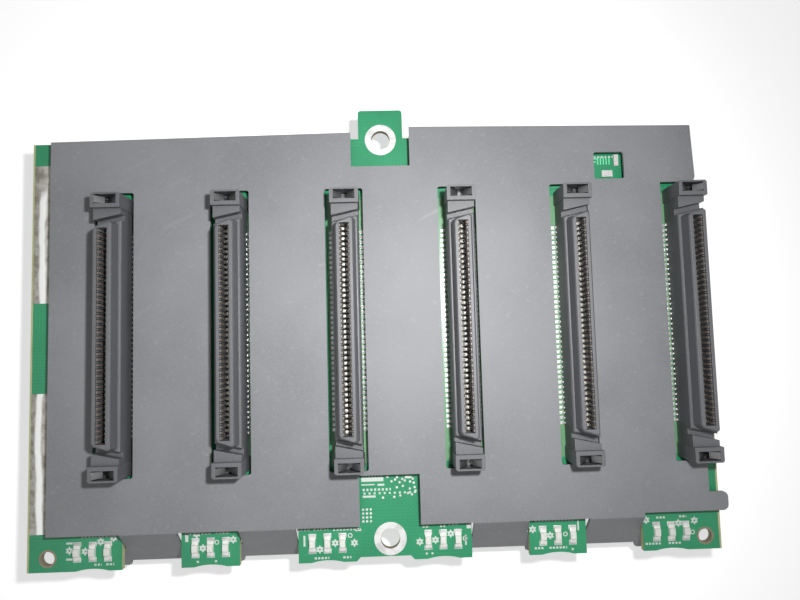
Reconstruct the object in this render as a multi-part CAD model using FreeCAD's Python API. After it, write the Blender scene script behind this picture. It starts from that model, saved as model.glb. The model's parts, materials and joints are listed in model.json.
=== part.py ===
import FreeCAD, Part
import math
import os

# Drive backplane board: a printed board that stands behind six hot-plug drives.  The drive side carries
# six 80-way receptacles behind a folded insulator sheet, the cable side carries the cable receptacles,
# the power headers and the control electronics.
#
# Frame: X to the right and Y up along the board, Z towards the drives.  The origin lies on the drive-side
# face, midway between the two large mounting holes.  All lengths are millimetres.

# ---- board ----
BOARD_LEFT = -88.25
BOARD_RIGHT = 82.5
BOARD_RIGHT_HIGH = 80.9
BOARD_STEP_Y = 0.0
BOARD_LOW = -55.45
BOARD_TOP = 50.6
BOARD_T = 1.6
BAY_PITCH = 28.5
BAYS = 6
TAB_FIRST_LEFT = -79.6
TAB_W = 14.2
TAB_NOTCH_DEPTH = 9.3
TAB_SCALLOP_W = 8.0
TAB_SCALLOP_DEPTH = 0.55
MIDDLE_SETBACK = 1.0
EAR_W = 11.4
EAR_H = 7.45
EAR_ROUND = 0.8
MOUNT_X = 0.0
MOUNT_SPACING = 100.5
MOUNT_HOLE_R = 2.4
CORNER_HOLES = ((-83.3, -52.2), (78.5, -52.2))
CORNER_HOLE_R = 1.7
STRIP_W = 3.9
STRIP_INSET = 0.5
STRIP_T = 0.12
STRIP_SPANS = ((10.0, 45.0), (-46.4, -12.4))

# ---- insulator sheet ----
# The sheet stands clear of the board on small feet, so that solder and tails have room under it.
SHEET_T = 0.8
SHEET_LIFT = 2.2
SHEET_LEFT = -82.4
SHEET_RIGHT = 80.2
SHEET_RIGHT_LOW = 78.8
SHEET_RIGHT_HIGH = 79.6
SHEET_LOW = -46.35
SHEET_TOP_LEFT = (50.2, 51.35)
SHEET_TOP_RIGHT = (52.6, 51.7)
STRAP_END = 83.4
STRAP_TOP = -40.85
STRAP_LOW = -45.4
STRAP_START = 62.5
STRAP_ROUND = 1.4
FOOT_SPOTS = [(x, y) for x in (-52.0, 5.0, 62.0) for y in (-28.0, 28.0)]
FOOT_SIZE = 3.0
WINDOW_LEFT = 5.2
WINDOW_RIGHT = 4.4
WINDOW_CORNER = 0.4
WINDOW_TOP = 36.95
WINDOW_LOW = -33.2
MIDDLE_CUT = (-7.3, 7.5)
MIDDLE_CUT_TOP = -34.25
TOP_NOTCH = (-7.6, 7.25)
TOP_NOTCH_LOW = 42.55
PEEP = (54.3, 62.0, 38.1, 45.05)
FLAP_ANGLE = 46.8
FLAP_LENGTH = 12.2
FLAP_SIDE_GAP = 0.35
HOOK_START = 6.5
HOOK_LENGTH = 14.7
HOOK_REACH = 3.5
HOOK_INNER = 0.3
HOOK_CORNER = 0.8

# ---- drive receptacles ----
PLUG_MIDDLE_X = 5.0
PLUG_MIDDLE_Y = 1.45
CONTACTS_PER_ROW = 40
CONTACT_PITCH = 1.27
CONTACT_W = 0.62
CONTACT_T = 0.35
CONTACT_TOP = 10.5
SLOT_HALF_W = 1.2
SLOT_HALF_L = 25.3
SLOT_FLOOR = 3.5
BODY_HALF_W = 3.25
NECK_Z = 5.7
LEDGE_Z = 7.7
SHOULDER_Z = 8.2
EAR_BLOCK_Z = 9.6
NOSE_Z = 11.0
NOSE_ROOT_HALF_W = 2.6
NOSE_TOP_HALF_W = 2.2
NOSE_LONG_HALF_L = 27.0
NOSE_SHORT_HALF_L = 25.6
NOSE_CORNER = 0.6
LEDGE_MARGIN = 0.7
LEDGE_EDGE = 0.3
NOSE_ROOT_GROWTH = 0.2
NOSE_EDGE = 0.35
NOSE_EDGE_INSET = 0.3
SHOULDER_LONG_Y = 29.1
SHOULDER_SHORT_Y = 27.7
EAR_BLOCK_START = 30.5
EAR_BLOCK_HALF_W = 3.5
EAR_BLOCK_CORNER = 0.4
PLUG_HALF_L = 34.2
POCKET_HALF_W = 2.6
POCKET_Y = (31.5, 33.75)
POCKET_FLOOR = 4.4
CLIP_T = 0.3
CLIP_W = 1.7
CLIP_BEND_DEPTH = 0.5
CLIP_TIP = (0.75, 2.0)

# ---- tab LEDs and small parts on the drive side ----
LED_FIRST = 3.4
LED_PITCH = 3.7
LED_Y = -50.85
LED_W = 1.6
LED_L = 3.2
LED_BASE_T = 0.5
LED_LENS_L = 2.0
LED_T = 1.1
LED_LENS_DRAFT = (0.1, 0.15)
WINDOW_CHIP = (61.0, 43.6, 1.2, 3.0, 0.6)
WINDOW_ARRAY = (58.5, 40.1, 2.8, 1.7, 0.6)

# ---- cable side ----
REAR_HEIGHT = 12.8
CABLE_SPOTS = ((-39.0, 29.0), (39.0, 29.0))
CABLE_FLANGE = (71.0, 11.6, 5.6)
CABLE_NOSE_LONG = 60.0
CABLE_NOSE_SHORT = 57.6
CABLE_NOSE_W = 7.6
CABLE_NOSE_CORNER = 1.4
SHELL_T = 0.5
SHELL_LIP = 0.6
JACK_SPACING = 65.8
JACK_R = 2.3
JACK_TOP = 9.4
POWER_SPOTS = ((-54.0, -26.0), (54.0, -26.0))
POWER_COLUMNS = 5
POWER_ROWS = 2
POWER_PITCH = 4.2
POWER_CELL = 3.5
POWER_CELL_DEPTH = 9.6
POWER_WALL = 0.95
POWER_PIN = 1.07
POWER_PIN_LENGTH = 8.2
POWER_RIB = (5.0, 1.2)
POWER_RIB_SPAN = (2.0, 3.0)
CONTROLLER = (0.0, -2.0, 20.0, 14.0, 2.8)
TERMINATORS = [(side * x, 8.0) for side in (-1, 1) for x in (26.0, 48.0, 70.0)]
TERMINATOR_SIZE = (7.5, 12.8, 2.4)
DRIVERS = ((-22.0, -32.0), (22.0, -32.0))
DRIVER_SIZE = (9.9, 3.9, 1.6)
CAPACITORS = [(side * 74.0, y) for side in (-1, 1) for y in (-20.0, -26.0, -32.0)]
CAPACITOR_SIZE = (7.3, 4.3, 2.9)
CLOCK_CAN = (0.0, -18.0, 7.0, 5.0, 1.6)
CHIP_DRAFT = 0.12

# ---- derived ----
MOUNT_YS = (MOUNT_SPACING / 2, -MOUNT_SPACING / 2)
NOTCH_TOP = BOARD_LOW + TAB_NOTCH_DEPTH
REAR_FACE = -BOARD_T
REST_Z = REAR_FACE - REAR_HEIGHT
TAB_LEFTS = [BOARD_LEFT] + [TAB_FIRST_LEFT + BAY_PITCH * bay for bay in range(1, BAYS)]
TAB_RIGHTS = [TAB_FIRST_LEFT + BAY_PITCH * bay + TAB_W for bay in range(BAYS - 1)] + [BOARD_RIGHT]
FLAP_BAYS = (0, 1, 3, 4)
PLUG_XS = [PLUG_MIDDLE_X + BAY_PITCH * (bay - (BAYS - 1) / 2) for bay in range(BAYS)]


def vec(x, y, z=0.0):
    return FreeCAD.Vector(x, y, z)


def box(x0, x1, y0, y1, z0, z1):
    return Part.makeBox(x1 - x0, y1 - y0, z1 - z0, vec(x0, y0, z0))


def centred_box(x, y, length, width, z0, z1):
    return box(x - length / 2, x + length / 2, y - width / 2, y + width / 2, z0, z1)


def cylinder(x, y, radius, z0, z1):
    return Part.makeCylinder(radius, z1 - z0, vec(x, y, z0))


def rounded_wire(corners, z=0.0):
    """Closed wire through corners (x, y, radius); a radius of 0 keeps the corner sharp."""
    count = len(corners)
    ends = []
    for index, (x, y, radius) in enumerate(corners):
        here = vec(x, y, z)
        if radius == 0:
            ends.append((here, None, here))
            continue
        before = corners[index - 1]
        after = corners[(index + 1) % count]
        back = (vec(before[0], before[1], z) - here).normalize()
        ahead = (vec(after[0], after[1], z) - here).normalize()
        half = back.getAngle(ahead) / 2
        reach = radius / math.tan(half)
        bisector = (back + ahead).normalize()
        centre = here + bisector * (radius / math.sin(half))
        ends.append((here + back * reach, centre - bisector * radius, here + ahead * reach))
    edges = []
    for index, (start, middle, end) in enumerate(ends):
        if middle is not None:
            edges.append(Part.Arc(start, middle, end).toShape())
        following = ends[(index + 1) % count][0]
        if (following - end).Length > 1e-6:
            edges.append(Part.LineSegment(end, following).toShape())
    return Part.Wire(edges)


def clipped(corners, cut):
    """The same outline with each corner cut off straight, a little way along both of its sides."""
    clipped_corners = []
    for index, (x, y, _) in enumerate(corners):
        here = vec(x, y)
        for neighbour in (corners[index - 1], corners[(index + 1) % len(corners)]):
            step = (vec(neighbour[0], neighbour[1]) - here).normalize() * cut
            clipped_corners.append((x + step.x, y + step.y, 0))
    return clipped_corners


def prism(corners, z0, z1):
    return Part.Face(rounded_wire(corners, z0)).extrude(vec(0, 0, z1 - z0))


def rectangle(x0, x1, y0, y1, radius=0.0):
    return [(x0, y0, radius), (x1, y0, radius), (x1, y1, radius), (x0, y1, radius)]


def joined(shapes):
    whole = shapes[0].multiFuse(shapes[1:])
    return whole.removeSplitter()


def save(name, shape):
    shape.exportStep(os.path.join("parts", name + ".step"))


# ---- the printed board ----

def board_outline():
    """Corners of the board, anticlockwise from the lower left: LED tabs, sides, top mounting ear."""
    corners = []
    for bay in range(BAYS):
        corners.append((TAB_LEFTS[bay], BOARD_LOW, 0))
        corners.append((TAB_RIGHTS[bay], BOARD_LOW, 0))
        if bay in FLAP_BAYS:
            corners.append((TAB_RIGHTS[bay], NOTCH_TOP, 0))
            corners.append((TAB_LEFTS[bay + 1], NOTCH_TOP, 0))
        elif bay < BAYS - 1:
            step = MIDDLE_SETBACK
            corners.append((TAB_RIGHTS[bay] + step, BOARD_LOW + step, 0))
            corners.append((TAB_LEFTS[bay + 1] - step, BOARD_LOW + step, 0))
    corners.append((BOARD_RIGHT, BOARD_STEP_Y, 0))
    corners.append((BOARD_RIGHT_HIGH, BOARD_STEP_Y, 0))
    corners.append((BOARD_RIGHT_HIGH, BOARD_TOP, 0))
    corners.append((MOUNT_X + EAR_W / 2, BOARD_TOP, 0))
    corners.append((MOUNT_X + EAR_W / 2, BOARD_TOP + EAR_H, EAR_ROUND))
    corners.append((MOUNT_X - EAR_W / 2, BOARD_TOP + EAR_H, EAR_ROUND))
    corners.append((MOUNT_X - EAR_W / 2, BOARD_TOP, 0))
    corners.append((BOARD_LEFT, BOARD_TOP, 0))
    return corners


def tab_middle(bay):
    return TAB_FIRST_LEFT + BAY_PITCH * bay + TAB_W / 2


def scallop(middle_x):
    """Shallow hollow in the lower edge of a tab, cut by a large cylinder."""
    half = TAB_SCALLOP_W / 2
    radius = (half ** 2 + TAB_SCALLOP_DEPTH ** 2) / (2 * TAB_SCALLOP_DEPTH)
    return cylinder(middle_x, BOARD_LOW + TAB_SCALLOP_DEPTH - radius, radius, REAR_FACE - 1, 1)


def make_board():
    board = prism(board_outline(), REAR_FACE, 0)
    cuts = [scallop(tab_middle(bay)) for bay in range(BAYS)]
    cuts += [cylinder(MOUNT_X, y, MOUNT_HOLE_R, REAR_FACE - 1, 1) for y in MOUNT_YS]
    cuts += [cylinder(x, y, CORNER_HOLE_R, REAR_FACE - 1, 1) for x, y in CORNER_HOLES]
    return board.cut(cuts)


def make_ground_strips():
    """Two tinned strips in the bare margin left of the sheet."""
    x0 = BOARD_LEFT + STRIP_INSET
    return Part.makeCompound([box(x0, x0 + STRIP_W, low, high, 0, STRIP_T) for low, high in STRIP_SPANS])


# ---- the insulator sheet ----

def sheet_outline():
    last_window_left = PLUG_XS[-1] - WINDOW_LEFT
    return [
        (SHEET_LEFT, SHEET_LOW, 0),
        (MIDDLE_CUT[0], SHEET_LOW, 0),
        (MIDDLE_CUT[0], MIDDLE_CUT_TOP, 0),
        (MIDDLE_CUT[1], MIDDLE_CUT_TOP, 0),
        (MIDDLE_CUT[1], SHEET_LOW, 0),
        (STRAP_START, SHEET_LOW, 0),
        (STRAP_START, STRAP_LOW, 0),
        (STRAP_END, STRAP_LOW, STRAP_ROUND),
        (STRAP_END, STRAP_TOP, STRAP_ROUND),
        (SHEET_RIGHT_LOW, STRAP_TOP, 0),
        (SHEET_RIGHT_LOW, WINDOW_LOW, 0),
        (last_window_left, WINDOW_LOW, 0),
        (last_window_left, WINDOW_TOP, 0),
        (SHEET_RIGHT, WINDOW_TOP, STRAP_ROUND),
        (SHEET_RIGHT_HIGH, SHEET_TOP_RIGHT[1], 0),
        (TOP_NOTCH[1], SHEET_TOP_RIGHT[0], 0),
        (TOP_NOTCH[1], TOP_NOTCH_LOW, 0),
        (TOP_NOTCH[0], TOP_NOTCH_LOW, 0),
        (TOP_NOTCH[0], SHEET_TOP_LEFT[1], 0),
        (SHEET_LEFT, SHEET_TOP_LEFT[0], 0),
    ]


def flap(bay):
    """Flap bent down through the notch right of a tab, with a hook behind the tab at each side."""
    x0 = TAB_RIGHTS[bay] + FLAP_SIDE_GAP
    x1 = TAB_LEFTS[bay + 1] - FLAP_SIDE_GAP
    half = (x1 - x0) / 2
    inner = half + FLAP_SIDE_GAP + HOOK_INNER
    outer = half + FLAP_SIDE_GAP + HOOK_REACH
    right = [
        (half, -HOOK_START, 0),
        (outer, -HOOK_START, 0),
        (outer, HOOK_CORNER - HOOK_LENGTH, 0),
        (outer - HOOK_CORNER, -HOOK_LENGTH, 0),
        (inner + HOOK_CORNER, -HOOK_LENGTH, 0),
        (inner, HOOK_CORNER - HOOK_LENGTH, 0),
        (inner, -FLAP_LENGTH, 0),
    ]
    left = [(-x, y, radius) for x, y, radius in right]
    corners = [(-half, 0, 0)] + left + right[::-1] + [(half, 0, 0)]
    leaf = prism(corners, -SHEET_T / 2, SHEET_T / 2)
    leaf.rotate(vec(0, 0, 0), vec(1, 0, 0), FLAP_ANGLE)
    crease = Part.makeCylinder(SHEET_T / 2, 2 * half, vec(-half, 0, 0), vec(1, 0, 0))
    bent = leaf.fuse(crease)
    bent.translate(vec((x0 + x1) / 2, SHEET_LOW, SHEET_LIFT + SHEET_T / 2))
    return bent


def make_insulator_sheet():
    top = SHEET_LIFT + SHEET_T
    sheet = prism(sheet_outline(), SHEET_LIFT, top)
    outlines = [(x - WINDOW_LEFT, x + WINDOW_RIGHT, WINDOW_LOW, WINDOW_TOP) for x in PLUG_XS[:-1]]
    outlines.append(PEEP)
    windows = [prism(clipped(rectangle(*outline), WINDOW_CORNER), 0, top + 1) for outline in outlines]
    feet = [centred_box(x, y, FOOT_SIZE, FOOT_SIZE, 0, SHEET_LIFT) for x, y in FOOT_SPOTS]
    return joined([sheet.cut(windows)] + feet + [flap(bay) for bay in FLAP_BAYS])


# ---- a drive receptacle, built round its own middle and then carried to its bay ----

def slanted(half_w, short_half_l, long_half_l):
    """Four corners of a keyed outline whose right side is longer than its left."""
    return [
        (-half_w, -short_half_l, 0),
        (half_w, -long_half_l, 0),
        (half_w, long_half_l, 0),
        (-half_w, short_half_l, 0),
    ]


def frustum(low, high, z0, z1):
    return Part.makeLoft([rounded_wire(low, z0), rounded_wire(high, z1)], True, True)


def slanted_inset(half_w, inset):
    return clipped(slanted(half_w, NOSE_SHORT_HALF_L - inset, NOSE_LONG_HALF_L - inset), NOSE_CORNER)


def plug_end():
    """Shoulder and eared pocket block at the +Y end."""
    shoulder = prism(
        [
            (-BODY_HALF_W, SHOULDER_SHORT_Y, 0),
            (BODY_HALF_W, SHOULDER_LONG_Y, 0),
            (BODY_HALF_W, EAR_BLOCK_START, 0),
            (-BODY_HALF_W, EAR_BLOCK_START, 0),
        ],
        0,
        SHOULDER_Z,
    )
    corner_x = EAR_BLOCK_HALF_W - EAR_BLOCK_CORNER
    corner_y = PLUG_HALF_L - EAR_BLOCK_CORNER
    ear_block = prism(
        [
            (-EAR_BLOCK_HALF_W, EAR_BLOCK_START, 0),
            (EAR_BLOCK_HALF_W, EAR_BLOCK_START, 0),
            (EAR_BLOCK_HALF_W, corner_y, 0),
            (corner_x, PLUG_HALF_L, 0),
            (-corner_x, PLUG_HALF_L, 0),
            (-EAR_BLOCK_HALF_W, corner_y, 0),
        ],
        0,
        EAR_BLOCK_Z,
    )
    return [shoulder, ear_block]


def mirrored_along_y(shape):
    return shape.mirror(vec(0, 0, 0), vec(0, 1, 0))


def make_plug_housing():
    base = box(-BODY_HALF_W, BODY_HALF_W, -EAR_BLOCK_START, EAR_BLOCK_START, 0, NECK_Z)
    ledge_low = slanted(BODY_HALF_W, NOSE_SHORT_HALF_L + LEDGE_MARGIN, NOSE_LONG_HALF_L + LEDGE_MARGIN)
    margin = LEDGE_MARGIN - LEDGE_EDGE
    ledge_high = slanted(BODY_HALF_W - LEDGE_EDGE, NOSE_SHORT_HALF_L + margin, NOSE_LONG_HALF_L + margin)
    ledge = prism(ledge_low, 0, LEDGE_Z - LEDGE_EDGE)
    ledge_edge = frustum(ledge_low, ledge_high, LEDGE_Z - LEDGE_EDGE, LEDGE_Z)
    root = slanted_inset(NOSE_ROOT_HALF_W, -NOSE_ROOT_GROWTH)
    rim = slanted_inset(NOSE_TOP_HALF_W, 0.0)
    lip = slanted_inset(NOSE_TOP_HALF_W - NOSE_EDGE_INSET, NOSE_EDGE_INSET)
    nose = frustum(root, rim, LEDGE_Z, NOSE_Z - NOSE_EDGE)
    nose_edge = frustum(rim, lip, NOSE_Z - NOSE_EDGE, NOSE_Z)
    ends = plug_end()
    ends += [mirrored_along_y(piece) for piece in ends]
    solid = joined([base, ledge, ledge_edge, nose, nose_edge] + ends)
    cuts = [box(-SLOT_HALF_W, SLOT_HALF_W, -SLOT_HALF_L, SLOT_HALF_L, SLOT_FLOOR, NOSE_Z + 1)]
    pocket = box(-POCKET_HALF_W, POCKET_HALF_W, POCKET_Y[0], POCKET_Y[1], POCKET_FLOOR, EAR_BLOCK_Z + 1)
    cuts += [pocket, mirrored_along_y(pocket)]
    return solid.cut(cuts)


def make_plug_contacts():
    """Two facing rows of contact blades that stand against the long walls of the slot."""
    blades = []
    for column in range(CONTACTS_PER_ROW):
        y = (column - (CONTACTS_PER_ROW - 1) / 2) * CONTACT_PITCH
        y0 = y - CONTACT_W / 2
        y1 = y + CONTACT_W / 2
        blades.append(box(SLOT_HALF_W - CONTACT_T, SLOT_HALF_W, y0, y1, SLOT_FLOOR, CONTACT_TOP))
        blades.append(box(-SLOT_HALF_W, CONTACT_T - SLOT_HALF_W, y0, y1, SLOT_FLOOR, CONTACT_TOP))
    return Part.makeCompound(blades)


def bent_strip(path, thickness, y0, y1):
    """Strip of even thickness that follows a path of (x, z) points and runs from y0 to y1."""
    points = [vec(x, 0, z) for x, z in path]
    count = len(points)
    left = []
    right = []
    for index, point in enumerate(points):
        incoming = (point - points[index - 1]).normalize() if index > 0 else None
        outgoing = (points[index + 1] - point).normalize() if index < count - 1 else None
        incoming = incoming or outgoing
        outgoing = outgoing or incoming
        normal_in = vec(-incoming.z, 0, incoming.x)
        normal_out = vec(-outgoing.z, 0, outgoing.x)
        mitre = (normal_in + normal_out).normalize()
        offset = mitre * (thickness / 2 / mitre.dot(normal_in))
        left.append(point + offset)
        right.append(point - offset)
    ring_points = left + right[::-1]
    wire = Part.makePolygon([vec(p.x, y0, p.z) for p in ring_points + ring_points[:1]])
    return Part.Face(wire).extrude(vec(0, y1 - y0, 0))


def make_ground_clips():
    """A sprung U of strip metal in each end pocket."""
    side = POCKET_HALF_W - CLIP_T / 2
    floor = POCKET_FLOOR + CLIP_T / 2
    half_path = [(CLIP_TIP[0], EAR_BLOCK_Z - CLIP_TIP[1]), (side, EAR_BLOCK_Z - CLIP_BEND_DEPTH), (side, floor)]
    path = [(-x, z) for x, z in half_path] + half_path[::-1]
    middle = (POCKET_Y[0] + POCKET_Y[1]) / 2
    clip = bent_strip(path, CLIP_T, middle - CLIP_W / 2, middle + CLIP_W / 2)
    return Part.makeCompound([clip, mirrored_along_y(clip)])


def carried(shape, x, y):
    copy = shape.copy()
    copy.translate(vec(x, y, 0))
    return copy


# ---- small parts of the drive side ----

def make_tab_leds(bay):
    leds = []
    for place in range(3):
        x = TAB_FIRST_LEFT + BAY_PITCH * bay + LED_FIRST + LED_PITCH * place
        base = centred_box(x, LED_Y, LED_W, LED_L, 0, LED_BASE_T)
        half_w = LED_W / 2
        half_l = LED_LENS_L / 2
        top_w = half_w - LED_LENS_DRAFT[0]
        top_l = half_l - LED_LENS_DRAFT[1]
        low = rectangle(x - half_w, x + half_w, LED_Y - half_l, LED_Y + half_l)
        high = rectangle(x - top_w, x + top_w, LED_Y - top_l, LED_Y + top_l)
        leds.append(base.fuse(frustum(low, high, LED_BASE_T, LED_T)))
    return Part.makeCompound(leds)


def make_window_parts():
    return Part.makeCompound([
        centred_box(x, y, length, width, 0, height)
        for x, y, length, width, height in (WINDOW_CHIP, WINDOW_ARRAY)
    ])


# ---- the cable side: everything hangs from the rear face of the board ----

def keyed_outline(x, y, skin):
    """Outline of the cable plug's keyed nose, set in all round by a skin."""
    half_w = CABLE_NOSE_W / 2 - skin
    half_long = CABLE_NOSE_LONG / 2 - skin
    half_short = CABLE_NOSE_SHORT / 2 - skin
    corners = [
        (x - half_long, y - half_w, 0),
        (x + half_long, y - half_w, 0),
        (x + half_short, y + half_w, 0),
        (x - half_short, y + half_w, 0),
    ]
    return clipped(corners, CABLE_NOSE_CORNER - skin)


def make_cable_housing(x, y):
    length, width, height = CABLE_FLANGE
    flange = centred_box(x, y, length, width, REAR_FACE - height, REAR_FACE)
    return flange.fuse(prism(keyed_outline(x, y, SHELL_T), REST_Z + SHELL_LIP, REAR_FACE - height))


def make_cable_shell(x, y):
    top = REAR_FACE - CABLE_FLANGE[2]
    hollow = prism(keyed_outline(x, y, SHELL_T), REST_Z - 1, top + 1)
    return prism(keyed_outline(x, y, 0), REST_Z, top).cut(hollow)


def make_jack_posts():
    posts = []
    z1 = REAR_FACE - CABLE_FLANGE[2]
    z0 = REAR_FACE - JACK_TOP
    for x, y in CABLE_SPOTS:
        for side in (-1, 1):
            jack_x = x + side * JACK_SPACING / 2
            hexagon = [
                (jack_x + JACK_R * math.cos(math.pi * k / 3), y + JACK_R * math.sin(math.pi * k / 3), 0)
                for k in range(6)
            ]
            posts.append(prism(hexagon, z0, z1))
    return Part.makeCompound(posts)


def power_cells(x, y):
    for column in range(POWER_COLUMNS):
        for row in range(POWER_ROWS):
            cell_x = x + (column - (POWER_COLUMNS - 1) / 2) * POWER_PITCH
            cell_y = y + (row - (POWER_ROWS - 1) / 2) * POWER_PITCH
            yield cell_x, cell_y


def make_power_header(x, y):
    length = POWER_PITCH * (POWER_COLUMNS - 1) + POWER_CELL + 2 * POWER_WALL
    width = POWER_PITCH * (POWER_ROWS - 1) + POWER_CELL + 2 * POWER_WALL
    body = centred_box(x, y, length, width, REST_Z, REAR_FACE)
    rib_y = y + (width + POWER_RIB[1]) / 2
    latch_rib = centred_box(x, rib_y, *POWER_RIB, REST_Z + POWER_RIB_SPAN[0], REAR_FACE - POWER_RIB_SPAN[1])
    cells = [
        centred_box(cell_x, cell_y, POWER_CELL, POWER_CELL, REST_Z - 1, REST_Z + POWER_CELL_DEPTH)
        for cell_x, cell_y in power_cells(x, y)
    ]
    return body.fuse(latch_rib).cut(cells)


def make_power_pins():
    floor = REST_Z + POWER_CELL_DEPTH
    return Part.makeCompound([
        centred_box(cell_x, cell_y, POWER_PIN, POWER_PIN, floor - POWER_PIN_LENGTH, floor)
        for x, y in POWER_SPOTS
        for cell_x, cell_y in power_cells(x, y)
    ])


def chip(x, y, length, width, height):
    """Moulded chip body with drafted faces above and below its lead plane."""
    half_l = length / 2
    half_w = width / 2
    middle = REAR_FACE - height / 2
    waist = rectangle(x - half_l, x + half_l, y - half_w, y + half_w)
    draft = CHIP_DRAFT * height
    face = rectangle(x - half_l + draft, x + half_l - draft, y - half_w + draft, y + half_w - draft)
    return joined([
        frustum(waist, face, middle, REAR_FACE),
        frustum(waist, face, middle, REAR_FACE - height),
    ])


def build():
    os.makedirs("parts", exist_ok=True)
    save("board", make_board())
    save("ground_strips", make_ground_strips())
    save("insulator_sheet", make_insulator_sheet())
    housing = make_plug_housing()
    contacts = make_plug_contacts()
    clips = make_ground_clips()
    for bay, x in enumerate(PLUG_XS, start=1):
        save(f"drive_receptacle_{bay}", carried(housing, x, PLUG_MIDDLE_Y))
        save(f"receptacle_contacts_{bay}", carried(contacts, x, PLUG_MIDDLE_Y))
        save(f"ground_clips_{bay}", carried(clips, x, PLUG_MIDDLE_Y))
        save(f"tab_leds_{bay}", make_tab_leds(bay - 1))
    save("window_parts", make_window_parts())
    for side, (x, y) in zip(("left", "right"), CABLE_SPOTS):
        save(f"cable_receptacle_{side}", make_cable_housing(x, y))
        save(f"cable_shell_{side}", make_cable_shell(x, y))
    save("jack_posts", make_jack_posts())
    for side, (x, y) in zip(("left", "right"), POWER_SPOTS):
        save(f"power_header_{side}", make_power_header(x, y))
    save("power_pins", make_power_pins())
    save("controller_chip", chip(*CONTROLLER))
    save("terminator_chips", Part.makeCompound([chip(x, y, *TERMINATOR_SIZE) for x, y in TERMINATORS]))
    save("driver_chips", Part.makeCompound([chip(x, y, *DRIVER_SIZE) for x, y in DRIVERS]))
    save("capacitors", Part.makeCompound([chip(x, y, *CAPACITOR_SIZE) for x, y in CAPACITORS]))
    save("clock_can", chip(*CLOCK_CAN))


build()
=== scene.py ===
import json
import math

import bpy
from mathutils import Matrix, Vector


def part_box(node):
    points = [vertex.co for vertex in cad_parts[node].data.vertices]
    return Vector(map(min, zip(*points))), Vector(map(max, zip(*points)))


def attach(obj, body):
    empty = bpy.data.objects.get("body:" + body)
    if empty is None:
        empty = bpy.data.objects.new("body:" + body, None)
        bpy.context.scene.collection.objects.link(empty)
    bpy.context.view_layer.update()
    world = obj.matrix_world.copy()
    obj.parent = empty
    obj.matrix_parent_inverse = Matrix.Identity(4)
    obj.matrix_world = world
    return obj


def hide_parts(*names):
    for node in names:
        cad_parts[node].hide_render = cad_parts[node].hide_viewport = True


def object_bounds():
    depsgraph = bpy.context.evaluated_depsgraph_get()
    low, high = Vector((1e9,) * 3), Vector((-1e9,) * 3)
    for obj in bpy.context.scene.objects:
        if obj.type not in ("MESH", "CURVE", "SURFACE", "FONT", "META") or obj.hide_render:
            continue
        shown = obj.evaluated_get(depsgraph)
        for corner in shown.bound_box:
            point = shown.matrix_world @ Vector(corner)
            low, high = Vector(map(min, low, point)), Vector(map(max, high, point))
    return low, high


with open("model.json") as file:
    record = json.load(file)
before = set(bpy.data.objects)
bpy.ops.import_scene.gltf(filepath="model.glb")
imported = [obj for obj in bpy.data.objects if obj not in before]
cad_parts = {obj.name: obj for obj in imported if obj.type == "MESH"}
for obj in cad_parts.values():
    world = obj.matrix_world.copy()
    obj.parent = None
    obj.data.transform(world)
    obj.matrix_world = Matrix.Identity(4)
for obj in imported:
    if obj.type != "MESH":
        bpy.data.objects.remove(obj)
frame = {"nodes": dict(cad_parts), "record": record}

bl_info = {
    "name": "Drive Backplane Board",
    "version": (1, 0, 0),
    "blender": (4, 5, 0),
    "location": "3D View > Sidebar > Backplane",
    "description": "Finishes, contacts, solder and print for a six-bay drive backplane board",
    "category": "Object",
}

CAD_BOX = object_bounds()

MM = 0.001
MERGED_WITHIN = 0.001 * MM
BAYS = range(1, 7)
SIDES = ("left", "right")
BOARD_LOW, BOARD_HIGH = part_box("board")
FRONT_Z = BOARD_HIGH.z
REAR_Z = BOARD_LOW.z
REST_Z = CAD_BOX[0].z
CONTACTS_PER_ROW = 40
CONTACT_PITCH = 1.27 * MM
SOCKETS_PER_ROW = 34


# ---- shader helpers ----

class Level:
    """A value in a shader: arithmetic on it adds the Math nodes that work it out."""

    def __init__(self, finish, socket):
        self.finish = finish
        self.socket = socket

    def _math(self, operation, *values):
        return self.finish.add("ShaderNodeMath", {"operation": operation}, dict(enumerate(values)))

    def __add__(self, other):
        return self._math("ADD", self, other)

    def __radd__(self, other):
        return self._math("ADD", other, self)

    def __sub__(self, other):
        return self._math("SUBTRACT", self, other)

    def __rsub__(self, other):
        return self._math("SUBTRACT", other, self)

    def __mul__(self, other):
        return self._math("MULTIPLY", self, other)

    def __rmul__(self, other):
        return self._math("MULTIPLY", other, self)

    def __gt__(self, other):
        return self._math("GREATER_THAN", self, other)

    def __lt__(self, other):
        return self._math("LESS_THAN", self, other)

    def __abs__(self):
        return self._math("ABSOLUTE", self)

    def sine(self):
        """The sine of an angle in radians."""
        return self._math("SINE", self)

    def faded(self, low, high):
        """0 below low, 1 above high, and a smooth ramp between."""
        settings = {"interpolation_type": "SMOOTHSTEP"}
        sockets = {"Value": self, "From Min": low, "From Max": high}
        return self.finish.add("ShaderNodeMapRange", settings, sockets)


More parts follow.
